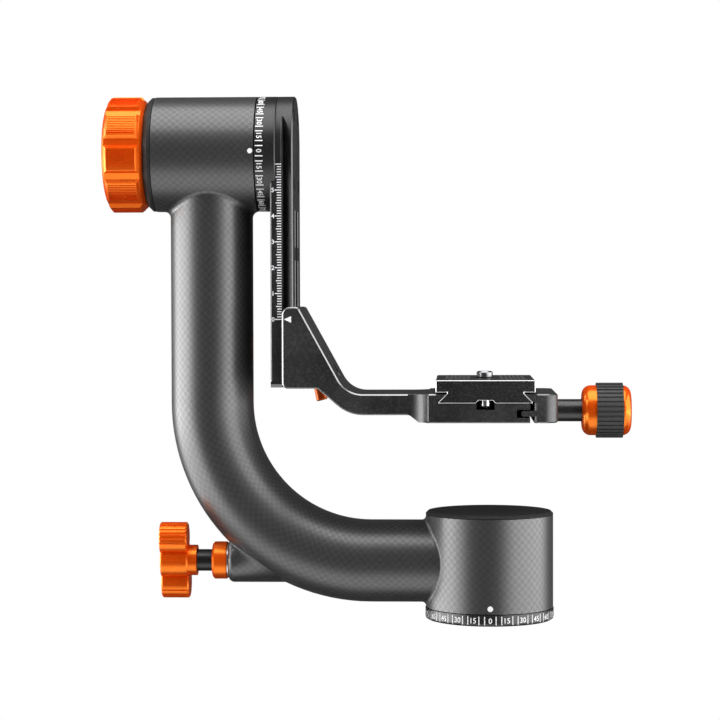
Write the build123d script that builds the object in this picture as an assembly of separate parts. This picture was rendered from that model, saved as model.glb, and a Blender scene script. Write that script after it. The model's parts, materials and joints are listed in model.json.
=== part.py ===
from build123d import *
import math
import os

# Gimbal tripod head: a hollow carbon arm turns on a base, a tilting hub on the arm carries an upright rail,
# and a height bracket on the rail ends in a dovetail clamp with a quick-release plate.
# Millimetres and degrees. The origin is the centre of the face that meets the tripod, +Z is the pan axis,
# and +X points from the arm towards the clamp knob.

# Fits
bond = 0.02            # radial gap of a bonded, pressed or screwed seat
liner_gap = 0.05       # glue line of a liner in the carbon shell
running = 0.06         # gap of a sliding or turning fit
seam = 0.3             # open seam between two turning faces
thread_fit = 0.02      # radial gap between a screw and its tapped hole
screw_clear = 0.15     # radial gap between a screw and a plain hole

# Base and pan bearing
tripod_thread_r = 9.525 / 2
tripod_thread_depth = 13.0
ring_lip = 0.2
ring_h = 4.5
ring_edge_r = 1.3
spindle_boss_w = 1.0     # step from the bearing seat out to the foot
spindle_flange_w = 1.9   # step from the outer race out to the flange's rim
spindle_flange_h = 3.2
spindle_shoulder_h = 0.6
spindle_shoulder_w = 2.0
pan_liner_w = 4.8
bearing_section = 8.5    # from bore to outside of both bearings
pan_bearing_w = 9.0
pan_ball_r = 2.5
pan_balls = 12
pan_nut_wall = 4.0
pan_nut_h = 3.0
nut_notch_w = 3.0
nut_notch_depth = 1.6
nut_notches = 4
cap_play = 1.0         # room between the pan nut and the base cap
base_screw_r = 1.5
base_screw_head_r = 2.9
base_screw_head_h = 1.6
base_screw_inset = 4.4
base_screw_length = 7.0
base_screws = 4
base_screw_sink = 0.05
hole_spare = 0.5       # depth of a tapped hole beyond the end of its screw

# Carbon arm
carbon_wall = 1.8
lower_housing_r = 25.1
lower_housing_h = 36.4
tube_r = 16.25
tube_z = 22.7
bend_r = 62.8
upright_x = -109.5
tilt_z = 183.4
upper_housing_r = 22.6
upper_housing_left = -131.0
upper_housing_right = -91.1
lower_fillet_r = 1.5
upper_fillet_r = 2.5
cap_h = 1.4
cap_bevel = 0.9
cap_seam = 0.3
cap_lip_w = 1.9
liner_shoulder_w = 1.8
boss_r = 8.65
boss_edge_r = 2.2
boss_end_x = -103.2
boss_root_x = -80.0

# Pan lock
insert_r = 5.5
insert_flange_r = 7.0
insert_flange_w = 0.4
insert_length = 12.0
pan_screw_setback = 1.5
pan_screw_r = 3.0
collar_r = 7.4
collar_w = 5.9
collar_edge = 0.8
sleeve_r = 4.3
sleeve_show = 6.3
sleeve_end_gap = 1.0
wing_hub_r = 6.05
wing_hub_w = 3.4
wing_w = 10.9
wing_reach = 16.0
wing_lobe_r = 6.3
wing_waist = 8.4
wing_core_r = 6.9
wing_lean = 20.0
wing_rib_r = 0.42
wing_rib_step = 17.0
wing_ribs = 5          # ribs on each side of a lobe's middle
wing_edge = 0.5
wing_face_w = 3.0      # solid metal over the end of the lock screw
pan_lock_travel = 0.75
push_gap = 0.2         # play between a lock screw and the piece that it pushes
rod_r = 3.0
rod_tip_r = 2.6
rod_tip_w = 1.5
rod_in_shoe = 1.5
shoe_r = 4.8
shoe_w = 4.0
shoe_gap = 0.05
shoe_horn_w = 1.5      # reach of the shoe's hollow face round the spindle

# Tilt bearing and hub
tilt_liner_w = 4.8
tilt_bearing_w = 9.0
tilt_ball_r = 2.3
tilt_balls = 10
tilt_nut_r = 11.5
tilt_nut_w = 3.0
shaft_shoulder_r = 9.3
shaft_flange_r = 13.5
shaft_flange_w = 4.0
shaft_thread_r = 5.0
shaft_thread_inset = 1.0
shaft_end_gap = 1.2
shaft_flat_w = 2.9
tilt_spacer_wall = 2.0
tilt_bearing_inset_left = 2.0
tilt_bearing_inset_right = 0.8
end_ring_inset = 0.2
end_ring_w = 3.4
end_ring_bevel = 1.9
end_ring_seam = 0.3
end_ring_wall = 0.2      # ring inside the washer's bore
end_screw_r = 1.25
end_screw_head_r = 1.9
end_screw_head_h = 1.4
end_screw_sink = 0.15
end_screw_length = 8.0
end_screw_inset = 4.2
end_screws = 4
washer_width = 3.8
washer_inset = 6.4
washer_w = 0.8
washer_clear = 0.1
brake_gap = 0.05       # play between the washer and the released pressure ring
pressure_ring_lip = 0.4
pressure_ring_w = 1.5
tilt_lock_travel = 0.5
flat_depth = 1.0
hub_edge = 0.3
screw_sink = 0.3       # heads of the rail's screws below the face of the rail
rail_screw_r = 2.0
rail_screw_head_r = 3.4
rail_screw_head_w = 3.6
rail_screw_y = 11.0
rail_screw_z = 13.4
rail_screw_length = 11.5

# Tilt lock knob
knob_lip = 0.15
knob_w = 16.0
knob_gap = 0.15
knob_front_bevel = 2.2
knob_front_w = 0.3
knob_front_step = 1.1
knob_back_bevel = 1.3
knob_pad_start = 1.0
knob_pad_length = 13.6
knob_pad_slope = 1.0
knob_pads = 10
knob_pad_turn = 8.0
knob_groove_w = 2.7
knob_groove_drop = 0.15  # groove floor below the ends of the pads
knob_groove_depth = 1.2
knob_slots = 10
knob_slot_pitch = 0.8
knob_slot_w = 0.4
knob_slot_depth = 0.45
knob_slot_length = 11.0
knob_insert_r = 9.0
knob_insert_w = 7.0
knob_insert_gap = 0.6
knob_cavity_clear = 0.4
knob_cap_r = 11.0
knob_cap_w = 1.6
knob_cap_sink = 0.4
retaining_screw_r = 2.0
retaining_head_r = 5.0
retaining_head_w = 1.8
retaining_screw_length = 9.0

# Rail
rail_left = -84.8
rail_slab_w = 4.4
rail_groove_w = 3.7
rail_lip_w = 0.7
rail_half_depth = 19.6
rail_neck_inset = 3.2
rail_bottom = 94.3
end_plate_h = 2.3
end_plate_edge = 0.6
end_plate_edge_h = 1.3
end_plate_screw_r = 1.25
end_plate_screw_length = 6.0
end_plate_screw_y = 12.0
rail_edge = 0.5
hub_seat_depth = 2.1
hub_seat_clear = 0.3
rail_pocket_y = 7.3
rail_pocket_half = 1.5
rail_pocket_depth = 0.5
rail_pocket_top = 161.0
rail_pocket_bottom = 97.0
rail_bridge_top = 146.5
rail_bridge_bottom = 141.4
stop_screw_r = 2.5
stop_slot_clear = 0.1
stop_slot_depth = 2.6
stop_screw_gap = 0.3
height_travel = 60.0

# Height bracket, at the foot of its travel
bracket_half_depth = 23.2
bracket_top = 123.2
bracket_foot = 91.65
bracket_top_w = 6.2
bracket_corner_r = 3.2
bracket_foot_r = 2.2
arm_root = 2.0           # length of the arm inside the clamp block
bracket_top_r = 1.6
foot_r = 1.2
step_inner_r = 0.8
step_outer_r = 1.6
slant_angle = 61.2
arm_top = 89.5
arm_bottom = 81.45
arm_inner_r = 10.7
arm_outer_r = 15.0
foot_w = 13.6
foot_slope = 40.0
step_x = -31.0
step_w = 3.6
bracket_edge = 0.5
stop_screw_z = 98.0
stop_screw_length = 12.0
stop_socket_r = 1.4
stop_socket_depth = 2.0

# Height lock
lever_z = 105.5
lever_pad_r = 2.3
lever_pad_shift = 0.4
lever_pad_start_y = 10.0
lever_boss_r = 5.2
lever_boss_w = 3.4
lever_cheek_w = 3.0    # threaded length behind the pad
lever_edge = 0.5
lever_hub_r = 4.6
lever_hub_w = 6.0
lever_knee_x = 7.4
lever_knee_z = -9.0
lever_tip_x = 10.4
lever_tip_z = -20.6
lever_neck_r = 1.7
lever_tip_r = 2.4
lever_tip_edge = 0.7
lever_face_w = 1.5     # solid metal over the end of the stud
lever_stud_r = 2.5
height_lock_travel = 0.4

# Dovetail clamp
clamp_left = -23.9
clamp_right = 15.2
clamp_half_depth = 29.5
clamp_bottom = 78.7
clamp_top = 89.8
clamp_corner_r = 0.5
web_fillet_r = 8.0
clamp_edge = 0.45
jaw_gap = 1.3
jaw_w = 9.4
jaw_inner_r = 1.8
jaw_outer_r = 5.2
tongue_h = 2.2
tongue_edge_r = 1.0
tongue_z = 82.3
tongue_gap = 0.45
tongue_room = 1.7        # slot beyond the end of the tongue
jaw_travel = 2.8
tongue_left_in = 1.9     # tongue over the jaw's gap, more than the gap is wide
screw_z = 82.2
clamp_screw_r = 2.5
clamp_screw_end = -5.0
clamp_sleeve_r = 4.4
clamp_sleeve_w = 10.4
clamp_knob_r = 9.85
clamp_knob_w = 19.2
clamp_knob_round = 3.4
clamp_screw_in_knob = 11.5
sleeve_edge = 0.3
grip_r = 10.85
grip_start = 5.6
grip_w = 10.4
grip_seat_depth = 1.2
grip_ribs = 36
grip_rib_depth = 0.45
grip_rib_w = 0.9

# Quick-release plate
plate_x = -1.8
plate_half_width = 19.0
plate_overhang = 0.5
plate_top = 95.1
plate_slab_h = 4.6
plate_neck_half = 14.7
plate_foot_half = 17.9
plate_foot_edge = 0.5
plate_bottom = 86.3
plate_edge = 0.25
plate_groove_half = 2.7
plate_groove_h = 1.1
pad_w = 9.6
pad_offset = 10.6
pad_inset = 4.0
pad_depth = 0.8
pad_proud = 0.15
pad_ribs = 6
pad_groove_share = 0.4
pad_rib_h = 0.35
stop_inset = 3.5
plate_travel = 10.0
plate_stop_r = 2.3
plate_stop_head_h = 2.9
plate_stop_shank_r = 1.5
plate_stop_shank_h = 4.5
plate_stop_edge = 0.8
plate_stop_socket_r = 1.2
plate_stop_socket_depth = 1.4
plate_wall_gap = 0.1
channel_half = 3.45
channel_bottom = 83.8

# Camera screw
camera_thread_r = 6.35 / 2
camera_screw_show = 2.6
camera_screw_lift = 2.4
camera_neck_r = 2.3
camera_thread_start = 0.35    # foot of the full thread over the plate's top
camera_tip_bevel = 0.5
camera_head_sink = 0.3
camera_head_clear = 0.5
camera_hole_clear = 0.2
camera_head_r = 6.0
camera_head_h = 2.2
camera_slot_w = 1.2
camera_slot_depth = 0.9
retainer_r = 5.4
retainer_h = 0.8
retainer_gap = 0.9     # room left over the washer when the screw is right up

# Sizes worked out from the sizes above
ring_r = lower_housing_r + ring_lip
pan_bearing_outer_r = lower_housing_r - carbon_wall - pan_liner_w
pan_bearing_bore_r = pan_bearing_outer_r - bearing_section
spindle_boss_r = pan_bearing_bore_r + spindle_boss_w
spindle_shoulder_r = pan_bearing_bore_r + spindle_shoulder_w
spindle_flange_r = pan_bearing_outer_r + spindle_flange_w
base_screw_circle_r = spindle_flange_r - base_screw_inset
pan_nut_r = pan_bearing_bore_r + pan_nut_wall
tilt_bearing_outer_r = upper_housing_r - carbon_wall - tilt_liner_w
tilt_bearing_bore_r = tilt_bearing_outer_r - bearing_section
end_ring_r = upper_housing_r - end_ring_inset
end_screw_circle_r = upper_housing_r - end_screw_inset
washer_outer_r = upper_housing_r - washer_inset
washer_inner_r = washer_outer_r - washer_width
end_ring_bore_r = washer_inner_r - end_ring_wall
pressure_ring_r = washer_outer_r + pressure_ring_lip
knob_r = upper_housing_r + knob_lip
plate_half_length = clamp_half_depth + plate_overhang
pad_half_length = plate_half_length - pad_inset
stop_y = plate_half_length - stop_inset

# Places worked out from the sizes above
housing_foot = ring_h + seam
housing_head = housing_foot + lower_housing_h
flange_top = ring_h + spindle_flange_h
pan_low_z = flange_top + spindle_shoulder_h
cap_lip_h = pan_nut_h + cap_play
pan_high_z = housing_head - cap_lip_h - pan_bearing_w
bend_z = tube_z + bend_r
bend_x = upright_x + bend_r
hub_left = upper_housing_right + seam
hub_right = rail_left + hub_seat_depth - bond
ring_left = upper_housing_left - end_ring_w
tilt_right_x = upper_housing_right - tilt_bearing_inset_right - tilt_bearing_w
tilt_left_x = upper_housing_left + tilt_bearing_inset_left
knob_right = ring_left - knob_gap
knob_left = knob_right - knob_w
knob_cavity_x = knob_right - pressure_ring_w - tilt_lock_travel - knob_insert_gap
shaft_end_x = knob_left + knob_cap_w + retaining_head_w + shaft_end_gap
rail_neck_x = rail_left + rail_slab_w
rail_lip_x = rail_neck_x + rail_groove_w
rail_right = rail_lip_x + rail_lip_w
bracket_left = rail_neck_x + seam
pad_x = (rail_neck_x + rail_lip_x) / 2 + lever_pad_shift
collar_right = boss_end_x - insert_flange_w
collar_left = collar_right - collar_w
pan_screw_end = boss_end_x + insert_length - pan_screw_setback
sleeve_left = collar_left - sleeve_show
wing_right = sleeve_left - wing_hub_w
wing_left = wing_right - wing_w
jaw_left = clamp_right + jaw_gap
tongue_w = jaw_travel + tongue_left_in
jaw_right = jaw_left + jaw_w
clamp_floor = plate_bottom - running
slab_bottom = plate_top - plate_slab_h
camera_foot_z = plate_bottom + camera_head_sink
camera_head_top = camera_foot_z + camera_head_h
web_bottom = camera_head_top + running + retainer_h + camera_screw_lift + retainer_gap


def x_cylinder(radius, start, end, y=0.0, z=0.0):
    """Cylinder along X from start to end."""
    rod = Cylinder(radius, end - start, align=(Align.CENTER, Align.CENTER, Align.MIN))
    return Pos(start, y, z) * Rot(0, 90, 0) * rod


def y_cylinder(radius, start, end, x=0.0, z=0.0):
    """Cylinder along Y from start to end."""
    rod = Cylinder(radius, end - start, align=(Align.CENTER, Align.CENTER, Align.MIN))
    return Pos(x, start, z) * Rot(-90, 0, 0) * rod


def z_cylinder(radius, start, end, x=0.0, y=0.0):
    """Cylinder along Z from start to end."""
    return Pos(x, y, start) * Cylinder(radius, end - start, align=(Align.CENTER, Align.CENTER, Align.MIN))


def block(low, high):
    """Box between two opposite corners."""
    size = [b - a for a, b in zip(low, high)]
    return Pos(*low) * Box(*size, align=(Align.MIN, Align.MIN, Align.MIN))


def turned_x(outline, z):
    """Solid turned about the X line at height z from (x, radius) points."""
    face = make_face(Polyline(*[(x, 0, z + radius) for x, radius in outline], close=True))
    return revolve(face, Axis((0, 0, z), (1, 0, 0)), 360)


def turned_z(outline, x=0.0, y=0.0):
    """Solid turned about a vertical line from (radius, z) points."""
    face = make_face(Polyline(*[(radius, 0, z) for radius, z in outline], close=True))
    return Pos(x, y, 0) * revolve(face, Axis.Z, 360)


def ring_x(inner, outer, start, end, z):
    """Plain ring about the X line at height z."""
    return x_cylinder(outer, start, end, z=z) - x_cylinder(inner, start - 1, end + 1, z=z)


def ring_z(inner, outer, start, end):
    """Plain ring about the pan axis."""
    return z_cylinder(outer, start, end) - z_cylinder(inner, start - 1, end + 1)


def y_prism(outline, half_depth):
    """Prism along Y from an (x, z) outline, the same depth each side of the middle."""
    face = make_face(outline)
    return extrude(face, amount=half_depth, dir=(0, 1, 0), both=True)


def corners(points, radii):
    """Closed (x, z) outline with each corner rounded by its own radius."""
    return FilletPolyline(*[(x, 0, z) for x, z in points], radius=radii, close=True)


def race_pair(bore_r, outer_r, width, ball_r, balls):
    """Inner race, outer race and balls of a bearing that stands on Z from 0 to its width."""
    pitch_r = (bore_r + outer_r) / 2
    land = ball_r * 0.62
    track = Pos(0, 0, width / 2) * Torus(pitch_r, ball_r + running)
    inner = ring_z(bore_r + bond, pitch_r - land, 0, width) - track
    outer = ring_z(pitch_r + land, outer_r - bond, 0, width) - track
    row = [
        Pos(0, 0, width / 2) * Rot(0, 0, 360 / balls * n) * Pos(pitch_r, 0, 0) * Sphere(ball_r)
        for n in range(balls)
    ]
    return inner, outer, row


def flat_head_screw(radius, head_r, head_h, length):
    """Countersunk screw whose head faces -Z at height 0."""
    head = Cone(head_r, radius, head_h, align=(Align.CENTER, Align.CENTER, Align.MIN))
    socket = extrude(RegularPolygon(radius * 0.62, 6), amount=head_h * 0.8)
    return head + z_cylinder(radius, head_h * 0.5, length) - socket


def cap_screw(radius, head_r, head_h, length):
    """Cap screw whose head top faces +Z at height 0, with a hexagon socket."""
    socket = Pos(0, 0, -head_h * 0.55) * extrude(RegularPolygon(radius * 0.78, 6), amount=head_h)
    return z_cylinder(head_r, -head_h, 0) + z_cylinder(radius, -length, -head_h) - socket


def on_circle(count, radius, start_turn=0.0):
    """Places on a circle about Z."""
    return [Rot(0, 0, start_turn + 360 / count * n) * Pos(radius, 0, 0) for n in range(count)]


# Base and pan bearing

def make_base_ring():
    """Engraved ring that carries the pan scale."""
    ring = ring_z(spindle_boss_r + bond, ring_r, 0, ring_h)
    foot_edges = ring.edges().filter_by(GeomType.CIRCLE).group_by(Axis.Z)[0].sort_by(SortBy.RADIUS)[-1:]
    ring = fillet(foot_edges, ring_edge_r)
    for place in on_circle(base_screws, base_screw_circle_r, 45):
        head = Cone(
            base_screw_head_r + screw_clear, base_screw_r + screw_clear, base_screw_head_h,
            align=(Align.CENTER, Align.CENTER, Align.MIN),
        )
        ring -= place * (head + z_cylinder(base_screw_r + screw_clear, 0, ring_h))
    return ring


def make_pan_spindle():
    """Upright shaft with the tripod thread in its foot and a flange that is screwed to the ring."""
    top = housing_head - cap_lip_h + pan_nut_h
    outline = [
        (0, 0), (spindle_boss_r, 0), (spindle_boss_r, ring_h), (spindle_flange_r, ring_h),
        (spindle_flange_r, flange_top), (spindle_shoulder_r, flange_top),
        (spindle_shoulder_r, pan_low_z), (pan_bearing_bore_r, pan_low_z),
        (pan_bearing_bore_r, top), (0, top),
    ]
    spindle = turned_z(outline) - z_cylinder(tripod_thread_r, 0, tripod_thread_depth)
    for place in on_circle(base_screws, base_screw_circle_r, 45):
        spindle -= place * z_cylinder(base_screw_r + thread_fit, ring_h, flange_top)
    return spindle


def make_base_screws():
    """Countersunk screws that hold the ring to the spindle flange."""
    screw = flat_head_screw(base_screw_r, base_screw_head_r, base_screw_head_h, base_screw_length)
    places = on_circle(base_screws, base_screw_circle_r, 45)
    return [place * Pos(0, 0, base_screw_sink) * screw for place in places]


def make_pan_nut():
    """Slotted nut that holds the upper inner race on the spindle."""
    foot = pan_high_z + pan_bearing_w
    nut = ring_z(pan_bearing_bore_r + thread_fit, pan_nut_r, foot, foot + pan_nut_h)
    half = nut_notch_w / 2
    for place in on_circle(nut_notches, pan_nut_r):
        nut -= place * block((-nut_notch_depth, -half, foot), (1, half, foot + pan_nut_h))
    return nut


# Carbon arm

def arm_path():
    """Centre line of the arm's tube, from the pan axis round the bend to the tilt axis."""
    return FilletPolyline((0, 0, tube_z), (upright_x, 0, tube_z), (upright_x, 0, tilt_z), radius=bend_r)


def arm_tube(radius):
    """Solid round bar along the centre line of the arm."""
    path = arm_path()
    section = Plane(origin=(0, 0, tube_z), z_dir=(-1, 0, 0)) * Circle(radius)
    return sweep(section, path=path)


def creases(shell, low_x):
    """Curved seams, to the right of low_x, where one round body of the shell runs into another."""
    plain = (GeomType.CIRCLE, GeomType.LINE)
    return [edge for edge in shell.edges() if edge.geom_type not in plain and edge.center().X > low_x]


def make_carbon_arm():
    """One moulded shell: lower housing, bent tube, upper housing and lock boss."""
    shell = z_cylinder(lower_housing_r, housing_foot, housing_head) + arm_tube(tube_r)
    shell = fillet(creases(shell, bend_x), lower_fillet_r)
    shell += x_cylinder(upper_housing_r, upper_housing_left, upper_housing_right, z=tilt_z)
    upper_creases = [edge for edge in creases(shell, upper_housing_left) if edge.center().Z > bend_z]
    shell = fillet(upper_creases, upper_fillet_r)
    boss = x_cylinder(boss_r, boss_end_x, boss_root_x, z=tube_z)
    shell += fillet(boss.edges().sort_by(Axis.X)[:1], boss_edge_r)
    shell -= z_cylinder(lower_housing_r - carbon_wall, housing_foot, housing_head)
    shell -= x_cylinder(upper_housing_r - carbon_wall, upper_housing_left, upper_housing_right, z=tilt_z)
    shell -= arm_tube(tube_r - carbon_wall)
    shell -= x_cylinder(insert_r, boss_end_x, boss_root_x, z=tube_z)
    return shell


def make_lower_liner():
    """Aluminium sleeve bonded in the lower housing, with seats for the pan bearings."""
    outer = lower_housing_r - carbon_wall - liner_gap
    seat = pan_bearing_outer_r
    land = seat - liner_shoulder_w
    low_top = pan_low_z + pan_bearing_w
    outline = [
        (spindle_flange_r + seam, housing_foot), (outer, housing_foot), (outer, housing_head),
        (seat, housing_head), (seat, pan_high_z), (land, pan_high_z), (land, low_top), (seat, low_top),
        (seat, flange_top + seam), (spindle_flange_r + seam, flange_top + seam),
    ]
    shoe_way = x_cylinder(shoe_r + running, -lower_housing_r, -pan_bearing_bore_r, z=tube_z)
    return turned_z(outline) - shoe_way


def make_base_cap():
    """Lid of the lower housing, whose lip holds the upper outer race down."""
    foot = housing_head + bond
    head = foot + cap_h
    lip_outer = pan_bearing_outer_r - bond
    lip_inner = pan_bearing_outer_r - cap_lip_w
    outline = [
        (0, foot), (lip_inner, foot), (lip_inner, pan_high_z + pan_bearing_w + bond),
        (lip_outer, pan_high_z + pan_bearing_w + bond), (lip_outer, foot),
        (lower_housing_r - cap_seam, foot), (lower_housing_r, foot + cap_seam),
        (lower_housing_r, head - cap_bevel), (lower_housing_r - cap_bevel, head), (0, head),
    ]
    return turned_z(outline)


def make_upper_liner():
    """Aluminium sleeve bonded in the upper housing, with seats for the tilt bearings."""
    outer = upper_housing_r - carbon_wall - liner_gap
    seat = tilt_bearing_outer_r
    land = seat - liner_shoulder_w
    outline = [
        (upper_housing_left, seat), (upper_housing_left, outer), (upper_housing_right, outer),
        (upper_housing_right, seat), (tilt_right_x, seat), (tilt_right_x, land),
        (tilt_left_x + tilt_bearing_w, land), (tilt_left_x + tilt_bearing_w, seat),
    ]
    liner = turned_x(outline, tilt_z)
    for place in end_screw_places():
        liner -= place * z_cylinder(end_screw_r + thread_fit, -end_screw_length - hole_spare, -end_ring_w)
    return liner


def end_screw_places():
    """Seats of the end ring's screws, each with +Z pointing out to the left."""
    turn_left = Pos(ring_left, 0, tilt_z) * Rot(0, -90, 0)
    return [turn_left * place for place in on_circle(end_screws, end_screw_circle_r, 45)]


def make_end_ring():
    """Black ring that closes the upper housing and carries the friction washer."""
    right = upper_housing_left - bond
    outer = end_ring_r
    seat_r = washer_outer_r + washer_clear
    outline = [
        (right, end_ring_bore_r), (right, outer - end_ring_seam), (right - end_ring_seam, outer),
        (ring_left + end_ring_bevel, outer),
        (ring_left, outer - end_ring_bevel), (ring_left, seat_r),
        (ring_left + washer_w, seat_r), (ring_left + washer_w, end_ring_bore_r),
    ]
    ring = turned_x(outline, tilt_z)
    seat = -end_screw_head_h - end_screw_sink - bond
    for place in end_screw_places():
        ring -= place * z_cylinder(end_screw_head_r + screw_clear, seat, 0)
        ring -= place * z_cylinder(end_screw_r + screw_clear, -end_ring_w, 0)
    return ring


def make_end_screws():
    """Screws that hold the end ring to the upper liner."""
    screw = cap_screw(end_screw_r, end_screw_head_r, end_screw_head_h, end_screw_length)
    return [place * Pos(0, 0, -end_screw_sink) * screw for place in end_screw_places()]


def make_friction_washer():
    """Fibre washer that the pressure ring grips."""
    return ring_x(washer_inner_r, washer_outer_r, ring_left + bond, ring_left + washer_w - bond, tilt_z)


# Pan lock

def make_boss_insert():
    """Threaded bush bonded in the carbon boss, with a flange on its outer face."""
    end = boss_end_x + insert_length
    bush = x_cylinder(insert_r - bond, boss_end_x, end, z=tube_z)
    bush += x_cylinder(insert_flange_r, collar_right + bond, boss_end_x - bond, z=tube_z)
    bush += x_cylinder(insert_r - bond, collar_right + bond, boss_end_x, z=tube_z)
    return bush - x_cylinder(pan_screw_r + thread_fit, boss_end_x - 1, end + 1, z=tube_z)


def make_lock_collar():
    """Orange trim collar round the lock screw."""
    right = collar_right
    outline = [
        (right, sleeve_r + screw_clear), (right, collar_r - collar_edge / 2),
        (right - collar_edge / 2, collar_r), (collar_left + collar_edge, collar_r),
        (collar_left, collar_r - collar_edge),
        (collar_left, sleeve_r + screw_clear),
    ]
    return turned_x(outline, tube_z)


def wing_outline():
    """Two lobes, a narrower waist and a round core, on the plane square to the lock axis."""
    lobe_z = wing_reach - wing_lobe_r
    shape = Circle(wing_core_r) + Rectangle(wing_waist, 2 * lobe_z)
    for side in (-1, 1):
        lobe = Pos(0, side * lobe_z) * Circle(wing_lobe_r)
        shape += lobe
    return shape


def make_wing_knob():
    """Two-lobed knob with fine ribs round each lobe and a round hub."""
    to_axis = Pos(wing_left, 0, tube_z) * Rot(wing_lean, 0, 0) * Rot(0, 90, 0) * Rot(0, 0, 90)
    body = extrude(wing_outline(), amount=wing_w)
    end_edges = body.faces().sort_by(Axis.Z)[0].edges() + body.faces().sort_by(Axis.Z)[-1].edges()
    body = chamfer(end_edges, wing_edge)
    lobe_z = wing_reach - wing_lobe_r
    ribs = []
    for side in (-1, 1):
        for n in range(-wing_ribs, wing_ribs + 1):
            turn = 90 * side + wing_rib_step * n
            spot = Pos(0, side * lobe_z, 0) * Rot(0, 0, turn) * Pos(wing_lobe_r, 0, 0)
            ribs.append(spot * z_cylinder(wing_rib_r, -1, wing_w + 1))
    body -= ribs
    knob = to_axis * body + x_cylinder(wing_hub_r, wing_right - wing_edge, sleeve_left, z=tube_z)
    return knob - x_cylinder(pan_screw_r + bond, wing_left + wing_face_w, sleeve_left + 1, z=tube_z)


def make_lock_sleeve():
    """Black sleeve on the screw between the knob and the collar."""
    end = boss_end_x - sleeve_end_gap - pan_lock_travel
    return ring_x(pan_screw_r + bond, sleeve_r, sleeve_left + bond, end, tube_z)


def make_pan_lock_screw():
    """Steel screw fixed in the wing knob."""
    return x_cylinder(pan_screw_r, wing_left + wing_face_w + bond, pan_screw_end, z=tube_z)


def make_pan_lock_rod():
    """Long push rod inside the arm, from the lock screw to the brake shoe."""
    start = pan_screw_end + pan_lock_travel + push_gap
    end = -pan_bearing_bore_r - shoe_gap - shoe_w + rod_in_shoe
    rod = x_cylinder(rod_r, start + rod_tip_w, end - bond, z=tube_z)
    return rod + x_cylinder(rod_tip_r, start, start + rod_tip_w, z=tube_z)


def make_brake_shoe():
    """Nylon shoe with a hollow face that grips the spindle."""
    back = -pan_bearing_bore_r - shoe_gap - shoe_w
    shoe = x_cylinder(shoe_r, back, -pan_bearing_bore_r + shoe_horn_w, z=tube_z)
    shoe -= z_cylinder(pan_bearing_bore_r + shoe_gap, tube_z - 2 * shoe_r, tube_z + 2 * shoe_r)
    return shoe - x_cylinder(rod_r + bond, back - 1, back + rod_in_shoe, z=tube_z)


# Tilt bearing and hub

def make_tilt_shaft():
    """Shaft that carries the rail: a clamped flange, a bearing seat and a threaded end with two flats."""
    right = hub_right
    thread_right = ring_left + washer_w + shaft_thread_inset
    left = shaft_end_x
    shoulder = tilt_right_x + tilt_bearing_w
    outline = [
        (left, 0), (left, shaft_thread_r), (thread_right, shaft_thread_r),
        (thread_right, tilt_bearing_bore_r),
        (shoulder, tilt_bearing_bore_r), (shoulder, shaft_shoulder_r),
        (right - shaft_flange_w, shaft_shoulder_r), (right - shaft_flange_w, shaft_flange_r),
        (right, shaft_flange_r), (right, 0),
    ]
    shaft = turned_x(outline, tilt_z)
    for side in (-1, 1):
        flat_y = side * (shaft_thread_r - flat_depth / 2)
        shaft -= block(
            (knob_right - shaft_flat_w, flat_y - flat_depth / 2, tilt_z - shaft_thread_r),
            (thread_right, flat_y + flat_depth / 2, tilt_z + shaft_thread_r),
        )
    depth = retaining_screw_length - retaining_head_w + hole_spare
    return shaft - x_cylinder(retaining_screw_r + thread_fit, left, left + depth, z=tilt_z)


def make_degree_hub():
    """Hub that carries the tilt scale and seats in the back of the rail."""
    outline = [
        (hub_left, shaft_shoulder_r + bond), (hub_left, upper_housing_r - hub_edge),
        (hub_left + hub_edge, upper_housing_r),
        (hub_right - hub_edge, upper_housing_r), (hub_right, upper_housing_r - hub_edge),
        (hub_right, shaft_flange_r + bond), (hub_right - shaft_flange_w - bond, shaft_flange_r + bond),
        (hub_right - shaft_flange_w - bond, shaft_shoulder_r + bond),
    ]
    hub = turned_x(outline, tilt_z)
    depth = rail_screw_length + hole_spare - (rail_right - screw_sink - hub_right)
    for y, z in rail_screw_points():
        hub -= x_cylinder(rail_screw_r + thread_fit, hub_right - depth, hub_right, y, z)
    return hub


def rail_screw_points():
    """(y, z) centres of the screws that join the rail and the hub."""
    return [(sy * rail_screw_y, tilt_z + sz * rail_screw_z) for sy in (-1, 1) for sz in (-1, 1)]


def rail_section(grow=0.0):
    """(x, y) outline of the dovetail bar: slab, necked groove and lip, grown by a clearance."""
    slab = rail_half_depth + grow
    neck = rail_half_depth - rail_neck_inset + grow
    slope = grow * (math.sqrt(2) - 1)
    right_half = [
        (rail_left - grow, slab), (rail_neck_x + grow, slab), (rail_neck_x + grow, neck),
        (rail_lip_x - rail_neck_inset + slope, neck), (rail_lip_x - grow + slope, slab),
        (rail_right + grow, slab),
    ]
    return right_half + [(x, -y) for x, y in reversed(right_half)]


def rail_groove(y, low, high):
    """Shallow upright groove with slanted walls, cut in the rail's right face."""
    floor_half = rail_pocket_half - rail_pocket_depth
    points = [
        (rail_right, y - rail_pocket_half), (rail_right - rail_pocket_depth, y - floor_half),
        (rail_right - rail_pocket_depth, y + floor_half), (rail_right, y + rail_pocket_half),
    ]
    face = make_face(Polyline(*[(x, y, low) for x, y in points], close=True))
    return extrude(face, amount=high - low, dir=(0, 0, 1))


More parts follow.
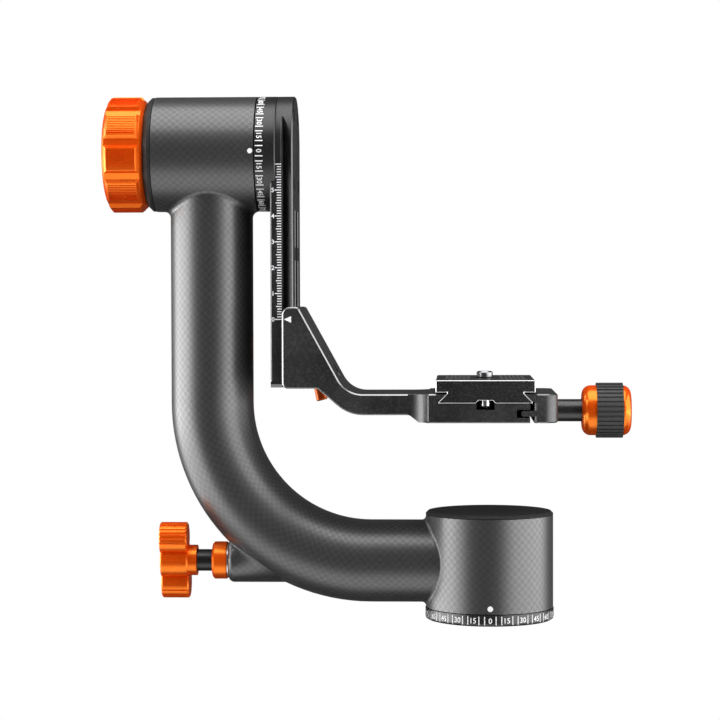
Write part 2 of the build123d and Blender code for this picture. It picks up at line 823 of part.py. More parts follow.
def make_rail():
    """Upright dovetail rail with a round head, a seat for the hub, grooves and a stop slot."""
    face = make_face(Polyline(*[(x, y, rail_bottom) for x, y in rail_section()], close=True))
    rail = extrude(face, amount=tilt_z + upper_housing_r - rail_bottom, dir=(0, 0, 1))
    wide = rail_half_depth + 1
    head_z = tilt_z + upper_housing_r - rail_half_depth
    keep = block((rail_left - 1, -wide, rail_bottom - 1), (rail_right + 1, wide, head_z))
    keep += x_cylinder(rail_half_depth, rail_left - 1, rail_right + 1, z=head_z)
    rail &= keep
    outline_edges = [
        edge for edge in rail.edges()
        if min(abs(edge.center().X - rail_left), abs(edge.center().X - rail_right)) < 0.01
    ]
    rail = chamfer(outline_edges, rail_edge)
    rail -= x_cylinder(upper_housing_r + hub_seat_clear, rail_left - 1, rail_left + hub_seat_depth, z=tilt_z)
    for low, high in ((rail_pocket_bottom, rail_bridge_bottom), (rail_bridge_top, rail_pocket_top)):
        for side in (-1, 1):
            rail -= rail_groove(side * rail_pocket_y, low, high)
    slot_half = stop_screw_r + stop_slot_clear
    slot_low = stop_screw_z - slot_half
    slot_high = stop_screw_z + height_travel + slot_half
    slot_floor = rail_right - stop_slot_depth
    rail -= block((slot_floor, -slot_half, slot_low), (rail_right + 1, slot_half, slot_high))
    for y, z in rail_screw_points():
        rail -= x_cylinder(rail_screw_r + screw_clear, rail_left, rail_right, y, z)
        seat = rail_right - rail_screw_head_w - screw_sink
        rail -= x_cylinder(rail_screw_head_r + screw_clear, seat, rail_right + 1, y, z)
    hole_top = rail_bottom + end_plate_screw_length - end_plate_h + hole_spare
    x = rail_left + rail_slab_w / 2
    for side in (-1, 1):
        y = side * end_plate_screw_y
        rail -= z_cylinder(end_plate_screw_r + thread_fit, rail_bottom - 1, hole_top, x, y)
    return rail


def make_end_plate():
    """Plate that closes the foot of the rail, with its front and back ends cut at a slant."""
    low = rail_bottom - bond - end_plate_h
    face = make_face(Polyline(*[(x, y, low) for x, y in rail_section(-bond)], close=True))
    plate = extrude(face, amount=end_plate_h, dir=(0, 0, 1))
    x = rail_left + rail_slab_w / 2
    for side in (-1, 1):
        y = side * end_plate_screw_y
        plate -= z_cylinder(end_plate_screw_r + screw_clear, low - 1, rail_bottom, x, y)
        inner, end, outer = [side * (rail_half_depth - bond + step * end_plate_edge) for step in (-1, 0, 1)]
        points = [
            (inner, low), (end, low + end_plate_edge_h), (outer, low + end_plate_edge_h), (outer, low),
        ]
        wedge = make_face(Polyline(*[(rail_left, y, z) for y, z in points], close=True))
        plate -= extrude(wedge, amount=rail_neck_x - rail_left, dir=(1, 0, 0))
    return plate


def make_end_plate_screws():
    """Screws that hold the end plate to the rail, with their heads let in flush."""
    low = rail_bottom - bond - end_plate_h
    x = rail_left + rail_slab_w / 2
    return [
        z_cylinder(end_plate_screw_r, low + bond, low + end_plate_screw_length, x, side * end_plate_screw_y)
        for side in (-1, 1)
    ]


def make_rail_screws():
    """Cap screws through the rail into the hub."""
    screw = cap_screw(rail_screw_r, rail_screw_head_r, rail_screw_head_w, rail_screw_length)
    return [Pos(rail_right - screw_sink, y, z) * Rot(0, 90, 0) * screw for y, z in rail_screw_points()]


def make_tilt_spacer():
    """Tube between the two inner races."""
    start = tilt_left_x + tilt_bearing_w + bond
    outer = tilt_bearing_bore_r + tilt_spacer_wall
    return ring_x(tilt_bearing_bore_r + bond, outer, start, tilt_right_x - bond, tilt_z)


def make_tilt_nut():
    """Slotted nut that holds the left inner race on the shaft."""
    right = tilt_left_x - bond
    nut = ring_x(tilt_bearing_bore_r + thread_fit, tilt_nut_r, right - tilt_nut_w, right, tilt_z)
    notch = block(
        (right - tilt_nut_w - 1, -nut_notch_w / 2, tilt_nut_r - nut_notch_depth),
        (right + 1, nut_notch_w / 2, tilt_nut_r + 1),
    )
    for n in range(nut_notches):
        nut -= Pos(0, 0, tilt_z) * Rot(360 / nut_notches * n, 0, 0) * notch
    return nut


# Tilt lock

def make_pressure_ring():
    """Ring with two flats that slides on the shaft and grips the friction washer."""
    right = ring_left - brake_gap
    left = right - pressure_ring_w
    ring = x_cylinder(pressure_ring_r, left, right, z=tilt_z)
    bore = x_cylinder(shaft_thread_r + running, left - 1, ring_left + 1, z=tilt_z)
    half = shaft_thread_r - flat_depth + running
    low_z = tilt_z - pressure_ring_r
    high_z = tilt_z + pressure_ring_r
    bore &= block((left - 2, -half, low_z), (ring_left + 2, half, high_z))
    return ring - bore


def make_tilt_knob():
    """Large knob with ten raised pads, sloped on all sides and cut with fine slots."""
    cavity_r = pressure_ring_r + knob_cavity_clear
    floor_r = knob_r - knob_groove_depth
    pad_left = knob_left + knob_pad_start
    pad_right = pad_left + knob_pad_length
    outline = [
        (knob_left, 0), (knob_left, floor_r - knob_front_bevel - knob_front_step),
        (knob_left + knob_front_w, floor_r - knob_front_bevel), (pad_left, floor_r - knob_groove_depth),
        (pad_left + knob_front_w, floor_r), (pad_left + knob_front_w + knob_pad_slope, knob_r),
        (pad_right - knob_pad_slope, knob_r), (pad_right, floor_r), (knob_right - knob_back_bevel, floor_r),
        (knob_right, floor_r - knob_back_bevel), (knob_right, cavity_r), (knob_cavity_x, cavity_r),
        (knob_cavity_x, 0),
    ]
    knob = turned_x(outline, tilt_z)
    step = 360 / knob_pads
    middle = (pad_left + knob_front_w + pad_right) / 2
    half = knob_groove_w / 2
    reach = knob_groove_depth * 2
    groove_z = floor_r - knob_groove_drop
    groove_face = make_face(Polyline(
        (knob_left, -half, groove_z), (knob_left, half, groove_z), (knob_left, half + reach, groove_z + reach),
        (knob_left, -half - reach, groove_z + reach), close=True,
    ))
    groove = extrude(groove_face, amount=knob_w, dir=(1, 0, 0))
    cutters = []
    for n in range(knob_pads):
        turn = Pos(0, 0, tilt_z) * Rot(90 + knob_pad_turn + step * n, 0, 0)
        cutters.append(turn * Rot(step / 2, 0, 0) * groove)
        for slot in range(knob_slots):
            y = (slot - (knob_slots - 1) / 2) * knob_slot_pitch
            floor = math.sqrt(knob_r**2 - y**2) - knob_slot_depth
            cutters.append(turn * block(
                (middle - knob_slot_length / 2, y - knob_slot_w / 2, floor),
                (middle + knob_slot_length / 2, y + knob_slot_w / 2, knob_r + 1),
            ))
    knob -= cutters
    knob -= x_cylinder(knob_insert_r, knob_left - 1, knob_right, z=tilt_z)
    cap_seat = knob_left + knob_cap_w + knob_cap_sink
    return knob - x_cylinder(knob_cap_r + bond, knob_left - 1, cap_seat, z=tilt_z)


def make_knob_insert():
    """Brass bush in the knob, threaded on the tilt shaft."""
    left = knob_cavity_x - knob_insert_w
    return ring_x(shaft_thread_r + thread_fit, knob_insert_r - bond, left, knob_cavity_x, tilt_z)


def make_knob_cap():
    """Disc that closes the outer face of the knob."""
    left = knob_left + knob_cap_sink
    disc = x_cylinder(knob_cap_r, left, left + knob_cap_w - bond, z=tilt_z)
    return chamfer(disc.edges().sort_by(Axis.X)[:1], knob_cap_sink)


def make_retaining_screw():
    """Wide-headed screw in the shaft end that keeps the knob from coming off."""
    screw = cap_screw(retaining_screw_r, retaining_head_r, retaining_head_w, retaining_screw_length)
    return Pos(shaft_end_x - retaining_head_w - bond, 0, tilt_z) * Rot(0, -90, 0) * screw


# Height bracket

def bracket_outline():
    """(x, z) outline of the bracket's slanted web and its arm."""
    slope = math.tan(math.radians(slant_angle))
    top_right = bracket_left + bracket_top_w
    inner_x = top_right + (bracket_top - arm_top) / slope
    foot_x = bracket_left + foot_w
    arm_end_x = clamp_left + arm_root
    bend_low_x = foot_x + (bracket_foot - arm_bottom) / math.tan(math.radians(foot_slope))
    points = [
        (bracket_left, bracket_foot), (bracket_left, bracket_top), (top_right, bracket_top),
        (inner_x, arm_top), (arm_end_x, arm_top), (arm_end_x, clamp_bottom),
        (step_x + step_w, clamp_bottom),
        (step_x, arm_bottom), (bend_low_x, arm_bottom), (foot_x, bracket_foot),
    ]
    radii = [
        bracket_foot_r, bracket_corner_r, bracket_top_r, arm_inner_r, 0, 0, step_inner_r, step_outer_r,
        arm_outer_r, foot_r,
    ]
    return corners(points, radii)


def clamp_block():
    """Wide block that holds the plate, with its left corners rounded."""
    body = block(
        (clamp_left, -clamp_half_depth, clamp_bottom), (clamp_right, clamp_half_depth, clamp_top)
    )
    body = fillet(body.edges().filter_by(Axis.Z).sort_by(Axis.X)[:2], clamp_corner_r)
    return chamfer(body.edges().filter_by(Axis.X), clamp_edge)


def web_fillet(side):
    """Concave sweep in plan from the arm out to the wider clamp block."""
    rise = clamp_half_depth - clamp_corner_r - bracket_half_depth
    run = math.sqrt(web_fillet_r ** 2 - (web_fillet_r - rise) ** 2)
    start = clamp_left - run
    low_y, high_y = sorted((side * (bracket_half_depth - bracket_edge), side * (bracket_half_depth + rise)))
    web = y_prism(bracket_outline(), bracket_half_depth + rise)
    web &= block((start, low_y, clamp_bottom - 1), (clamp_left + bracket_edge, high_y, arm_top - bond))
    return web - z_cylinder(
        web_fillet_r, clamp_bottom - 1, clamp_top, start, side * (bracket_half_depth + web_fillet_r)
    )


def make_bracket():
    """Height bracket: it wraps the rail, turns into the arm and ends in the fixed half of the clamp."""
    body = y_prism(bracket_outline(), bracket_half_depth)
    ends = body.faces().filter_by(Axis.Y)
    body = chamfer(ends.edges(), bracket_edge)
    body += clamp_block()
    for side in (-1, 1):
        body += web_fillet(side)
    way = make_face(Polyline(*[(x, y, bracket_foot - 1) for x, y in rail_section(running)], close=True))
    body -= extrude(way, amount=bracket_top - bracket_foot + 2, dir=(0, 0, 1))
    body -= plate_way()
    stop_hole_end = rail_right + 2 * stop_screw_length
    body -= x_cylinder(stop_screw_r + thread_fit, rail_right, stop_hole_end, z=stop_screw_z)
    rear = bracket_half_depth + lever_boss_w
    boss = y_cylinder(lever_boss_r, bracket_half_depth - 1, rear, pad_x, lever_z)
    boss &= block((bracket_left, 0, bracket_foot), (clamp_left, rear, bracket_top))
    body += boss
    body -= y_cylinder(lever_pad_r + running, 0, rear - lever_cheek_w, pad_x, lever_z)
    body -= y_cylinder(lever_stud_r + thread_fit, rear - lever_cheek_w - 0.1, rear + 1, pad_x, lever_z)
    body -= tongue_way()
    return body - x_cylinder(clamp_screw_r + thread_fit, clamp_screw_end - 1, clamp_right + 1, z=screw_z)


def plate_way():
    """Room for the plate's dovetail and, fore and aft, for its stop screws."""
    foot = plate_foot_half + running
    neck = plate_neck_half + running
    points = [
        (plate_x - foot, clamp_floor), (plate_x - foot, plate_bottom + plate_foot_edge + running / 2),
        (plate_x - neck, plate_bottom + plate_foot_edge + running / 2 + plate_foot_half - plate_neck_half),
        (plate_x - neck, clamp_top + 1), (clamp_right + 1, clamp_top + 1), (clamp_right + 1, clamp_floor),
    ]
    way = y_prism(Polyline(*[(x, 0, z) for x, z in points], close=True), clamp_half_depth + 1)
    wall_y = stop_y - plate_stop_r - plate_travel - plate_wall_gap
    for side in (-1, 1):
        low_y, high_y = sorted((side * wall_y, side * (clamp_half_depth + 1)))
        way += block(
            (plate_x - channel_half, low_y, channel_bottom), (plate_x + channel_half, high_y, clamp_floor + 1)
        )
    return way


def tongue_way():
    """Slot in the clamp block for the tongue of the moving jaw."""
    half = tongue_h / 2 + tongue_gap
    return block(
        (jaw_left - tongue_w - tongue_room, -clamp_half_depth - 1, tongue_z - half),
        (clamp_right + 1, clamp_half_depth + 1, tongue_z + half),
    )


def make_stop_screw():
    """Grub screw whose plain tip runs in the rail's slot and ends the travel."""
    start = rail_right - stop_slot_depth + stop_screw_gap
    screw = x_cylinder(stop_screw_r, start, start + stop_screw_length, z=stop_screw_z)
    socket = Rot(0, 90, 0) * extrude(RegularPolygon(stop_socket_r, 6), amount=stop_socket_depth + 1)
    return screw - Pos(start + stop_screw_length - stop_socket_depth, 0, stop_screw_z) * socket


# Height lock

def make_lever():
    """Clamp lever behind the bracket, with a flared tip that hangs below the bracket's foot."""
    start = bracket_half_depth + lever_boss_w + running
    middle = start + lever_hub_w / 2
    hub = chamfer(y_cylinder(lever_hub_r, start, start + lever_hub_w).edges(), lever_edge)
    knee = Vector(lever_knee_x, 0, lever_knee_z)
    tip = Vector(lever_tip_x, 0, lever_tip_z)
    upper = Plane(origin=(0, 0, 0), z_dir=knee) * Cylinder(
        lever_neck_r, knee.length, align=(Align.CENTER, Align.CENTER, Align.MIN)
    )
    lower = Cone(
        lever_neck_r, lever_tip_r, (tip - knee).length, align=(Align.CENTER, Align.CENTER, Align.MIN)
    )
    lower = fillet(lower.edges().sort_by(Axis.Z)[-1:], lever_tip_edge)
    handle = upper + Pos(*knee) * Sphere(lever_neck_r) + Plane(origin=knee, z_dir=tip - knee) * lower
    lever = hub + Pos(0, middle, 0) * handle
    lever -= y_cylinder(lever_stud_r + bond, start - 1, start + lever_hub_w - lever_face_w)
    return Pos(pad_x, 0, lever_z) * lever


def make_lever_stud():
    """Steel stud pressed in the lever and threaded through the bracket's rear cheek."""
    start = bracket_half_depth + lever_boss_w - lever_cheek_w + height_lock_travel + push_gap
    end = bracket_half_depth + lever_boss_w + running + lever_hub_w - lever_face_w - bond
    return y_cylinder(lever_stud_r, start, end, pad_x, lever_z)


def make_height_pad():
    """Brass pad with a slanted face that grips the rail's rear flank."""
    end = bracket_half_depth + lever_boss_w - lever_cheek_w
    pad = y_cylinder(lever_pad_r, lever_pad_start_y, end, pad_x, lever_z)
    low = lever_z - 2 * lever_pad_r
    way = make_face(Polyline(*[(x, y, low) for x, y in rail_section(running)], close=True))
    return pad - extrude(way, amount=4 * lever_pad_r, dir=(0, 0, 1))


# Dovetail clamp

def make_jaw():
    """Moving jaw: outer cheek, overhanging lip and a tongue that runs in the clamp block."""
    lip_x = plate_x + plate_neck_half + running
    foot_x = plate_x + plate_foot_half + running
    foot_top = plate_bottom + plate_foot_edge + running / 2
    cheek = block((jaw_left, -clamp_half_depth, clamp_bottom), (jaw_right, clamp_half_depth, clamp_top))
    uprights = cheek.edges().filter_by(Axis.Z).sort_by(Axis.X)
    cheek = fillet(uprights[2:], jaw_outer_r)
    cheek = fillet(cheek.edges().filter_by(Axis.Z).sort_by(Axis.X)[:2], jaw_inner_r)
    rims = [edge for edge in cheek.edges() if abs(edge.center().Z - screw_z) > jaw_w / 4]
    cheek = chamfer([edge for edge in rims if edge.center().X > jaw_left + jaw_inner_r + 0.01], clamp_edge)
    points = [
        (jaw_left + 1, foot_top), (foot_x, foot_top), (lip_x, foot_top + plate_foot_half - plate_neck_half),
        (lip_x, clamp_top), (jaw_left + 1, clamp_top),
    ]
    cheek += y_prism(Polyline(*[(x, 0, z) for x, z in points], close=True), clamp_half_depth)
    cheek -= block((lip_x, -clamp_half_depth - 1, clamp_floor), (foot_x, clamp_half_depth + 1, foot_top))
    tongue = block(
        (jaw_left - tongue_w, -clamp_half_depth, tongue_z - tongue_h / 2),
        (jaw_left + 1, clamp_half_depth, tongue_z + tongue_h / 2),
    )
    tongue = fillet(tongue.edges().filter_by(Axis.Y).sort_by(Axis.X)[:2], tongue_edge_r)
    jaw = cheek + tongue
    return jaw - x_cylinder(clamp_screw_r + screw_clear, jaw_left - tongue_w - 1, jaw_right + 1, z=screw_z)


def make_clamp_screw():
    """Steel screw fixed in the clamp knob and threaded in the clamp block."""
    end = jaw_right + clamp_sleeve_w + clamp_screw_in_knob
    return x_cylinder(clamp_screw_r, clamp_screw_end, end, z=screw_z)


def make_clamp_sleeve():
    """Dark sleeve between the jaw and the knob."""
    start = jaw_right + running
    end = jaw_right + clamp_sleeve_w
    outline = [
        (start, clamp_screw_r + bond), (start, clamp_sleeve_r - sleeve_edge),
        (start + sleeve_edge, clamp_sleeve_r),
        (end, clamp_sleeve_r), (end, clamp_screw_r + bond),
    ]
    return turned_x(outline, screw_z)


def make_clamp_knob():
    """Round-ended knob with a groove for its grip band."""
    left = jaw_right + clamp_sleeve_w + bond
    right = left + clamp_knob_w
    seat = clamp_knob_r - grip_seat_depth
    band = left + grip_start
    face = make_face(FilletPolyline(
        *[(x, 0, screw_z + radius) for x, radius in (
            (left, 0), (left, clamp_knob_r), (right, clamp_knob_r), (right, 0),
        )],
        radius=[0, clamp_knob_round, clamp_knob_round, 0], close=True,
    ))
    knob = revolve(face, Axis((0, 0, screw_z), (1, 0, 0)), 360)
    knob -= ring_x(seat, clamp_knob_r + 1, band, band + grip_w, screw_z)
    return knob - x_cylinder(clamp_screw_r + bond, left - 1, left + clamp_screw_in_knob + bond, z=screw_z)


def make_grip_band():
    """Black ribbed band round the clamp knob."""
    start = jaw_right + clamp_sleeve_w + bond + grip_start + bond
    end = start + grip_w - 2 * bond
    band = ring_x(clamp_knob_r - grip_seat_depth + bond, grip_r, start, end, screw_z)
    notches = []
    for n in range(grip_ribs):
        notch = block(
            (start - 1, -grip_rib_w / 2, grip_r - grip_rib_depth), (end + 1, grip_rib_w / 2, grip_r + 1)
        )
        notches.append(Pos(0, 0, screw_z) * Rot(360 / grip_ribs * n, 0, 0) * notch)
    return band - notches


# Quick-release plate

def make_plate():
    """Plate with a dovetail foot, pad recesses, a groove beneath and the camera screw's seat."""
    flank_top = plate_bottom + plate_foot_edge + plate_foot_half - plate_neck_half
    groove_top = plate_bottom + plate_groove_h
    half = [
        (plate_groove_half, groove_top), (plate_groove_half + plate_groove_h, plate_bottom),
        (plate_foot_half, plate_bottom), (plate_foot_half, plate_bottom + plate_foot_edge),
        (plate_neck_half, flank_top), (plate_neck_half, slab_bottom), (plate_half_width, slab_bottom),
        (plate_half_width, plate_top - plate_edge), (plate_half_width - plate_edge, plate_top),
    ]
    points = [(plate_x + x, z) for x, z in half] + [(plate_x - x, z) for x, z in reversed(half)]
    body = y_prism(Polyline(*[(x, 0, z) for x, z in points], close=True), plate_half_length)
    ends = [face for face in body.faces().filter_by(Axis.Y)]
    body = chamfer([edge for face in ends for edge in face.edges()], plate_edge)
    for side in (-1, 1):
        x = plate_x + side * pad_offset
        body -= block(
            (x - pad_w / 2 - bond, -pad_half_length - bond, plate_top - pad_depth),
            (x + pad_w / 2 + bond, pad_half_length + bond, plate_top + 1),
        )
        top = groove_top + plate_stop_shank_h + hole_spare
        body -= z_cylinder(plate_stop_shank_r + thread_fit, plate_bottom, top, plate_x, side * stop_y)
        body -= z_cylinder(plate_stop_r + screw_clear, plate_bottom - 1, groove_top, plate_x, side * stop_y)
    body -= z_cylinder(camera_head_r + camera_head_clear, plate_bottom - 1, web_bottom, plate_x)
    return body - z_cylinder(camera_thread_r + camera_hole_clear, web_bottom - 1, plate_top + 1, plate_x)


def make_pads():
    """Ribbed rubber pads let into the top of the plate."""
    pads = []
    pitch = pad_w / pad_ribs
    for side in (-1, 1):
        x = plate_x + side * pad_offset
        top = plate_top + pad_proud
        pad = block(
            (x - pad_w / 2, -pad_half_length, plate_top - pad_depth + bond),
            (x + pad_w / 2, pad_half_length, top),
        )
        for n in range(1, pad_ribs):
            groove_x = x - pad_w / 2 + pitch * n
            pad -= block(
                (groove_x - pitch * pad_groove_share / 2, -pad_half_length - 1, top - pad_rib_h),
                (groove_x + pitch * pad_groove_share / 2, pad_half_length + 1, top + 1),
            )
        pads.append(pad)
    return pads


def make_plate_stops():
    """Stop screws under the plate's two ends."""
    seat = plate_bottom + plate_groove_h - bond
    screw = z_cylinder(plate_stop_r, seat - plate_stop_head_h, seat)
    screw = chamfer(screw.edges().filter_by(GeomType.CIRCLE).sort_by(Axis.Z)[:1], plate_stop_edge)
    screw += z_cylinder(plate_stop_shank_r, seat, seat + plate_stop_shank_h)
    screw -= Pos(0, 0, seat - plate_stop_head_h - 1) * extrude(
        RegularPolygon(plate_stop_socket_r, 6), amount=plate_stop_socket_depth + 1
    )
    return [Pos(plate_x, side * stop_y, 0) * screw for side in (-1, 1)]


def make_camera_screw():
    """Camera screw, lowered to the foot of its float, with a coin slot in its head."""
    top = plate_top + camera_screw_show
    thread_foot = plate_top + camera_thread_start
    neck_top = thread_foot - camera_thread_r + camera_neck_r
    head_top = camera_head_top
    outline = [
        (0, camera_foot_z), (camera_head_r, camera_foot_z), (camera_head_r, head_top),
        (camera_neck_r, head_top), (camera_neck_r, neck_top), (camera_thread_r, thread_foot),
        (camera_thread_r, top - camera_tip_bevel), (camera_thread_r - camera_tip_bevel, top), (0, top),
    ]
    foot = camera_foot_z
    slot = block(
        (plate_x - camera_head_r - 1, -camera_slot_w / 2, foot - 1),
        (plate_x + camera_head_r + 1, camera_slot_w / 2, foot + camera_slot_depth),
    )
    return turned_z(outline, plate_x) - slot


def make_retainer():
    """Nylon washer round the camera screw's neck, which floats up and down with it."""
    foot = camera_head_top + running
    washer = z_cylinder(retainer_r, foot, foot + retainer_h, plate_x)
    return washer - z_cylinder(camera_neck_r + running, foot - 1, foot + retainer_h + 1, plate_x)


def main():
    """Makes every piece and writes one STEP file for each node."""
    inner, outer, balls = race_pair(
        pan_bearing_bore_r, pan_bearing_outer_r, pan_bearing_w, pan_ball_r, pan_balls
    )
    pan_places = [Pos(0, 0, pan_low_z), Pos(0, 0, pan_high_z)]
    tilt_inner, tilt_outer, tilt_row = race_pair(
        tilt_bearing_bore_r, tilt_bearing_outer_r, tilt_bearing_w, tilt_ball_r, tilt_balls
    )
    tilt_places = [Pos(x, 0, tilt_z) * Rot(0, 90, 0) for x in (tilt_left_x, tilt_right_x)]
    nodes = {
        "base_ring": [make_base_ring()],
        "pan_spindle": [make_pan_spindle()],
        "base_screws": make_base_screws(),
        "pan_bearing_inner_races": [place * inner for place in pan_places],
        "pan_bearing_outer_races": [place * outer for place in pan_places],
        "pan_bearing_balls": [place * ball for place in pan_places for ball in balls],
        "pan_bearing_nut": [make_pan_nut()],
        "carbon_arm": [make_carbon_arm()],
        "lower_liner": [make_lower_liner()],
        "base_cap": [make_base_cap()],
        "upper_liner": [make_upper_liner()],
        "end_ring": [make_end_ring()],
        "end_ring_screws": make_end_screws(),
        "tilt_friction_washer": [make_friction_washer()],
        "lock_boss_insert": [make_boss_insert()],
        "lock_collar": [make_lock_collar()],
        "pan_lock_knob": [make_wing_knob()],
        "pan_lock_sleeve": [make_lock_sleeve()],
        "pan_lock_screw": [make_pan_lock_screw()],
        "pan_lock_rod": [make_pan_lock_rod()],
        "pan_brake_shoe": [make_brake_shoe()],
        "tilt_shaft": [make_tilt_shaft()],
        "tilt_bearing_inner_races": [place * tilt_inner for place in tilt_places],
        "tilt_bearing_outer_races": [place * tilt_outer for place in tilt_places],
        "tilt_bearing_balls": [place * ball for place in tilt_places for ball in tilt_row],
        "tilt_bearing_spacer": [make_tilt_spacer()],
        "tilt_bearing_nut": [make_tilt_nut()],
        "degree_hub": [make_degree_hub()],
        "rail": [make_rail()],
        "rail_end_plate": [make_end_plate()],
        "rail_end_screws": make_end_plate_screws(),
        "rail_screws": make_rail_screws(),
        "tilt_pressure_ring": [make_pressure_ring()],
        "tilt_lock_knob": [make_tilt_knob()],
        "tilt_knob_insert": [make_knob_insert()],
        "tilt_knob_cap": [make_knob_cap()],
        "knob_retaining_screw": [make_retaining_screw()],
        "height_bracket": [make_bracket()],
        "height_stop_screw": [make_stop_screw()],
        "height_lock_lever": [make_lever()],
        "height_lock_stud": [make_lever_stud()],
        "height_lock_pad": [make_height_pad()],
        "clamp_jaw": [make_jaw()],
        "clamp_screw": [make_clamp_screw()],
        "clamp_sleeve": [make_clamp_sleeve()],
        "clamp_knob": [make_clamp_knob()],
        "clamp_knob_grip": [make_grip_band()],
        "release_plate": [make_plate()],
        "plate_pads": make_pads(),
        "plate_stop_screws": make_plate_stops(),
        "camera_screw": [make_camera_screw()],
        "screw_retainer": [make_retainer()],
    }
    os.makedirs("parts", exist_ok=True)
    for name, pieces in nodes.items():
        solids = [solid for piece in pieces for solid in piece.solids()]
        shape = solids[0] if len(solids) == 1 else Compound(children=solids)
        export_step(shape, f"parts/{name}.step")
        print(f"{name}: {len(solids)} solids, {sum(s.volume for s in solids):.0f} mm3")


main()
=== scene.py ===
import bpy
import bmesh
import json
import math
from mathutils import Matrix, Vector


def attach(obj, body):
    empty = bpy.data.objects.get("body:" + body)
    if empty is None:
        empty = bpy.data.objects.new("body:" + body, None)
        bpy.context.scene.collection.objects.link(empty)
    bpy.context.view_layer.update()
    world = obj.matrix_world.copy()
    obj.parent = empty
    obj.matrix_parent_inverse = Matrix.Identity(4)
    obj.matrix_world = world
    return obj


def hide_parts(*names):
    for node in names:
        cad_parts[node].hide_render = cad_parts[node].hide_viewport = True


mm = 0.001
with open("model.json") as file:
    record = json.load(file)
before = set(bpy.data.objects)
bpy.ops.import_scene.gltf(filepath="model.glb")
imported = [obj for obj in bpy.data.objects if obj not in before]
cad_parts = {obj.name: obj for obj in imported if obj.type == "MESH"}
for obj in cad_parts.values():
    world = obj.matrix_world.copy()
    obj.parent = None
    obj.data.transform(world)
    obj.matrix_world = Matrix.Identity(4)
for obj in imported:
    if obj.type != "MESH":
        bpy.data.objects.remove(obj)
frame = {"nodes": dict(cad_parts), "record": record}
scene = bpy.context.scene
nodes = frame["nodes"]
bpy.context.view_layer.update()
print("frame loaded")


# A socket takes a link from another node or a plain value
def setInput(tree, socket, value):
    if isinstance(value, bpy.types.NodeSocket):
        tree.links.new(value, socket)
    else:
        socket.default_value = value


def addNode(tree, kind, inputs=None, **settings):
    made = tree.nodes.new(kind)
    for key, value in settings.items():
        setattr(made, key, value)
    for key, value in (inputs or {}).items():
        setInput(tree, made.inputs[key], value)
    return made


def calc(tree, operation, *values):
    made = addNode(tree, "ShaderNodeMath", operation=operation)
    for socket, value in zip(made.inputs, values):
        setInput(tree, socket, value)
    return made.outputs[0]


def remap(tree, value, low, high, toLow=0.0, toHigh=1.0):
    made = addNode(tree, "ShaderNodeMapRange", {
        "Value": value, "From Min": low, "From Max": high, "To Min": toLow, "To Max": toHigh,
    })
    return made.outputs["Result"]


def mixValue(tree, factor, low, high):
    return remap(tree, factor, 0.0, 1.0, low, high)


def mixFloat(tree, factor, first, second):
    made = addNode(tree, "ShaderNodeMix", data_type="FLOAT")
    for index, value in ((0, factor), (2, first), (3, second)):
        setInput(tree, made.inputs[index], value)
    return made.outputs[0]


def mixColor(tree, factor, first, second):
    made = addNode(tree, "ShaderNodeMix", data_type="RGBA")
    for index, value in ((0, factor), (6, first), (7, second)):
        setInput(tree, made.inputs[index], value)
    return made.outputs[2]


def newGroup(name, inputs, outputs):
    tree = bpy.data.node_groups.new(name, "ShaderNodeTree")
    for label, kind, value in inputs:
        tree.interface.new_socket(label, in_out="INPUT", socket_type=kind).default_value = value
    for label, kind in outputs:
        tree.interface.new_socket(label, in_out="OUTPUT", socket_type=kind)
    return tree, addNode(tree, "NodeGroupInput"), addNode(tree, "NodeGroupOutput")


def useGroup(tree, group, inputs=None):
    made = addNode(tree, "ShaderNodeGroup", node_tree=group)
    for key, value in (inputs or {}).items():
        setInput(tree, made.inputs[key], value)
    return made.outputs


# Fine grain of a blasted surface, and the broad smudges of use over it
grainForm = {
    "scale": 3600.0, "detail": 2.0, "toneLow": 0.5, "toneHigh": 0.64,
    "smudgeScale": 55.0, "smudgeDetail": 4.0, "smudgeLow": 0.3, "smudgeHigh": 0.7,
}


def makeGrainGroup(values):
    tree, given, result = newGroup(
        "fineGrain", [("Scale", "NodeSocketFloat", values["scale"])],
        [("Tone", "NodeSocketFloat"), ("Height", "NodeSocketFloat"), ("Smudge", "NodeSocketFloat")],
    )
    spot = addNode(tree, "ShaderNodeTexCoord").outputs["Object"]
    grain = addNode(tree, "ShaderNodeTexNoise", {
        "Vector": spot, "Scale": given.outputs["Scale"], "Detail": values["detail"],
    })
    smudge = addNode(tree, "ShaderNodeTexNoise", {
        "Vector": spot, "Scale": values["smudgeScale"], "Detail": values["smudgeDetail"],
    })
    tone = remap(tree, grain.outputs[0], values["toneLow"], values["toneHigh"])
    smudged = remap(tree, smudge.outputs[0], values["smudgeLow"], values["smudgeHigh"])
    setInput(tree, result.inputs["Tone"], tone)
    setInput(tree, result.inputs["Height"], grain.outputs[0])
    setInput(tree, result.inputs["Smudge"], smudged)
    return tree


# Cut corners: faces at 45 degrees to the axis, near the two levels on either side of the middle
cutForm = {"slant": 0.7071, "spread": 0.06, "reach": 0.6 * mm, "underHigh": -0.1, "underLow": -0.3}


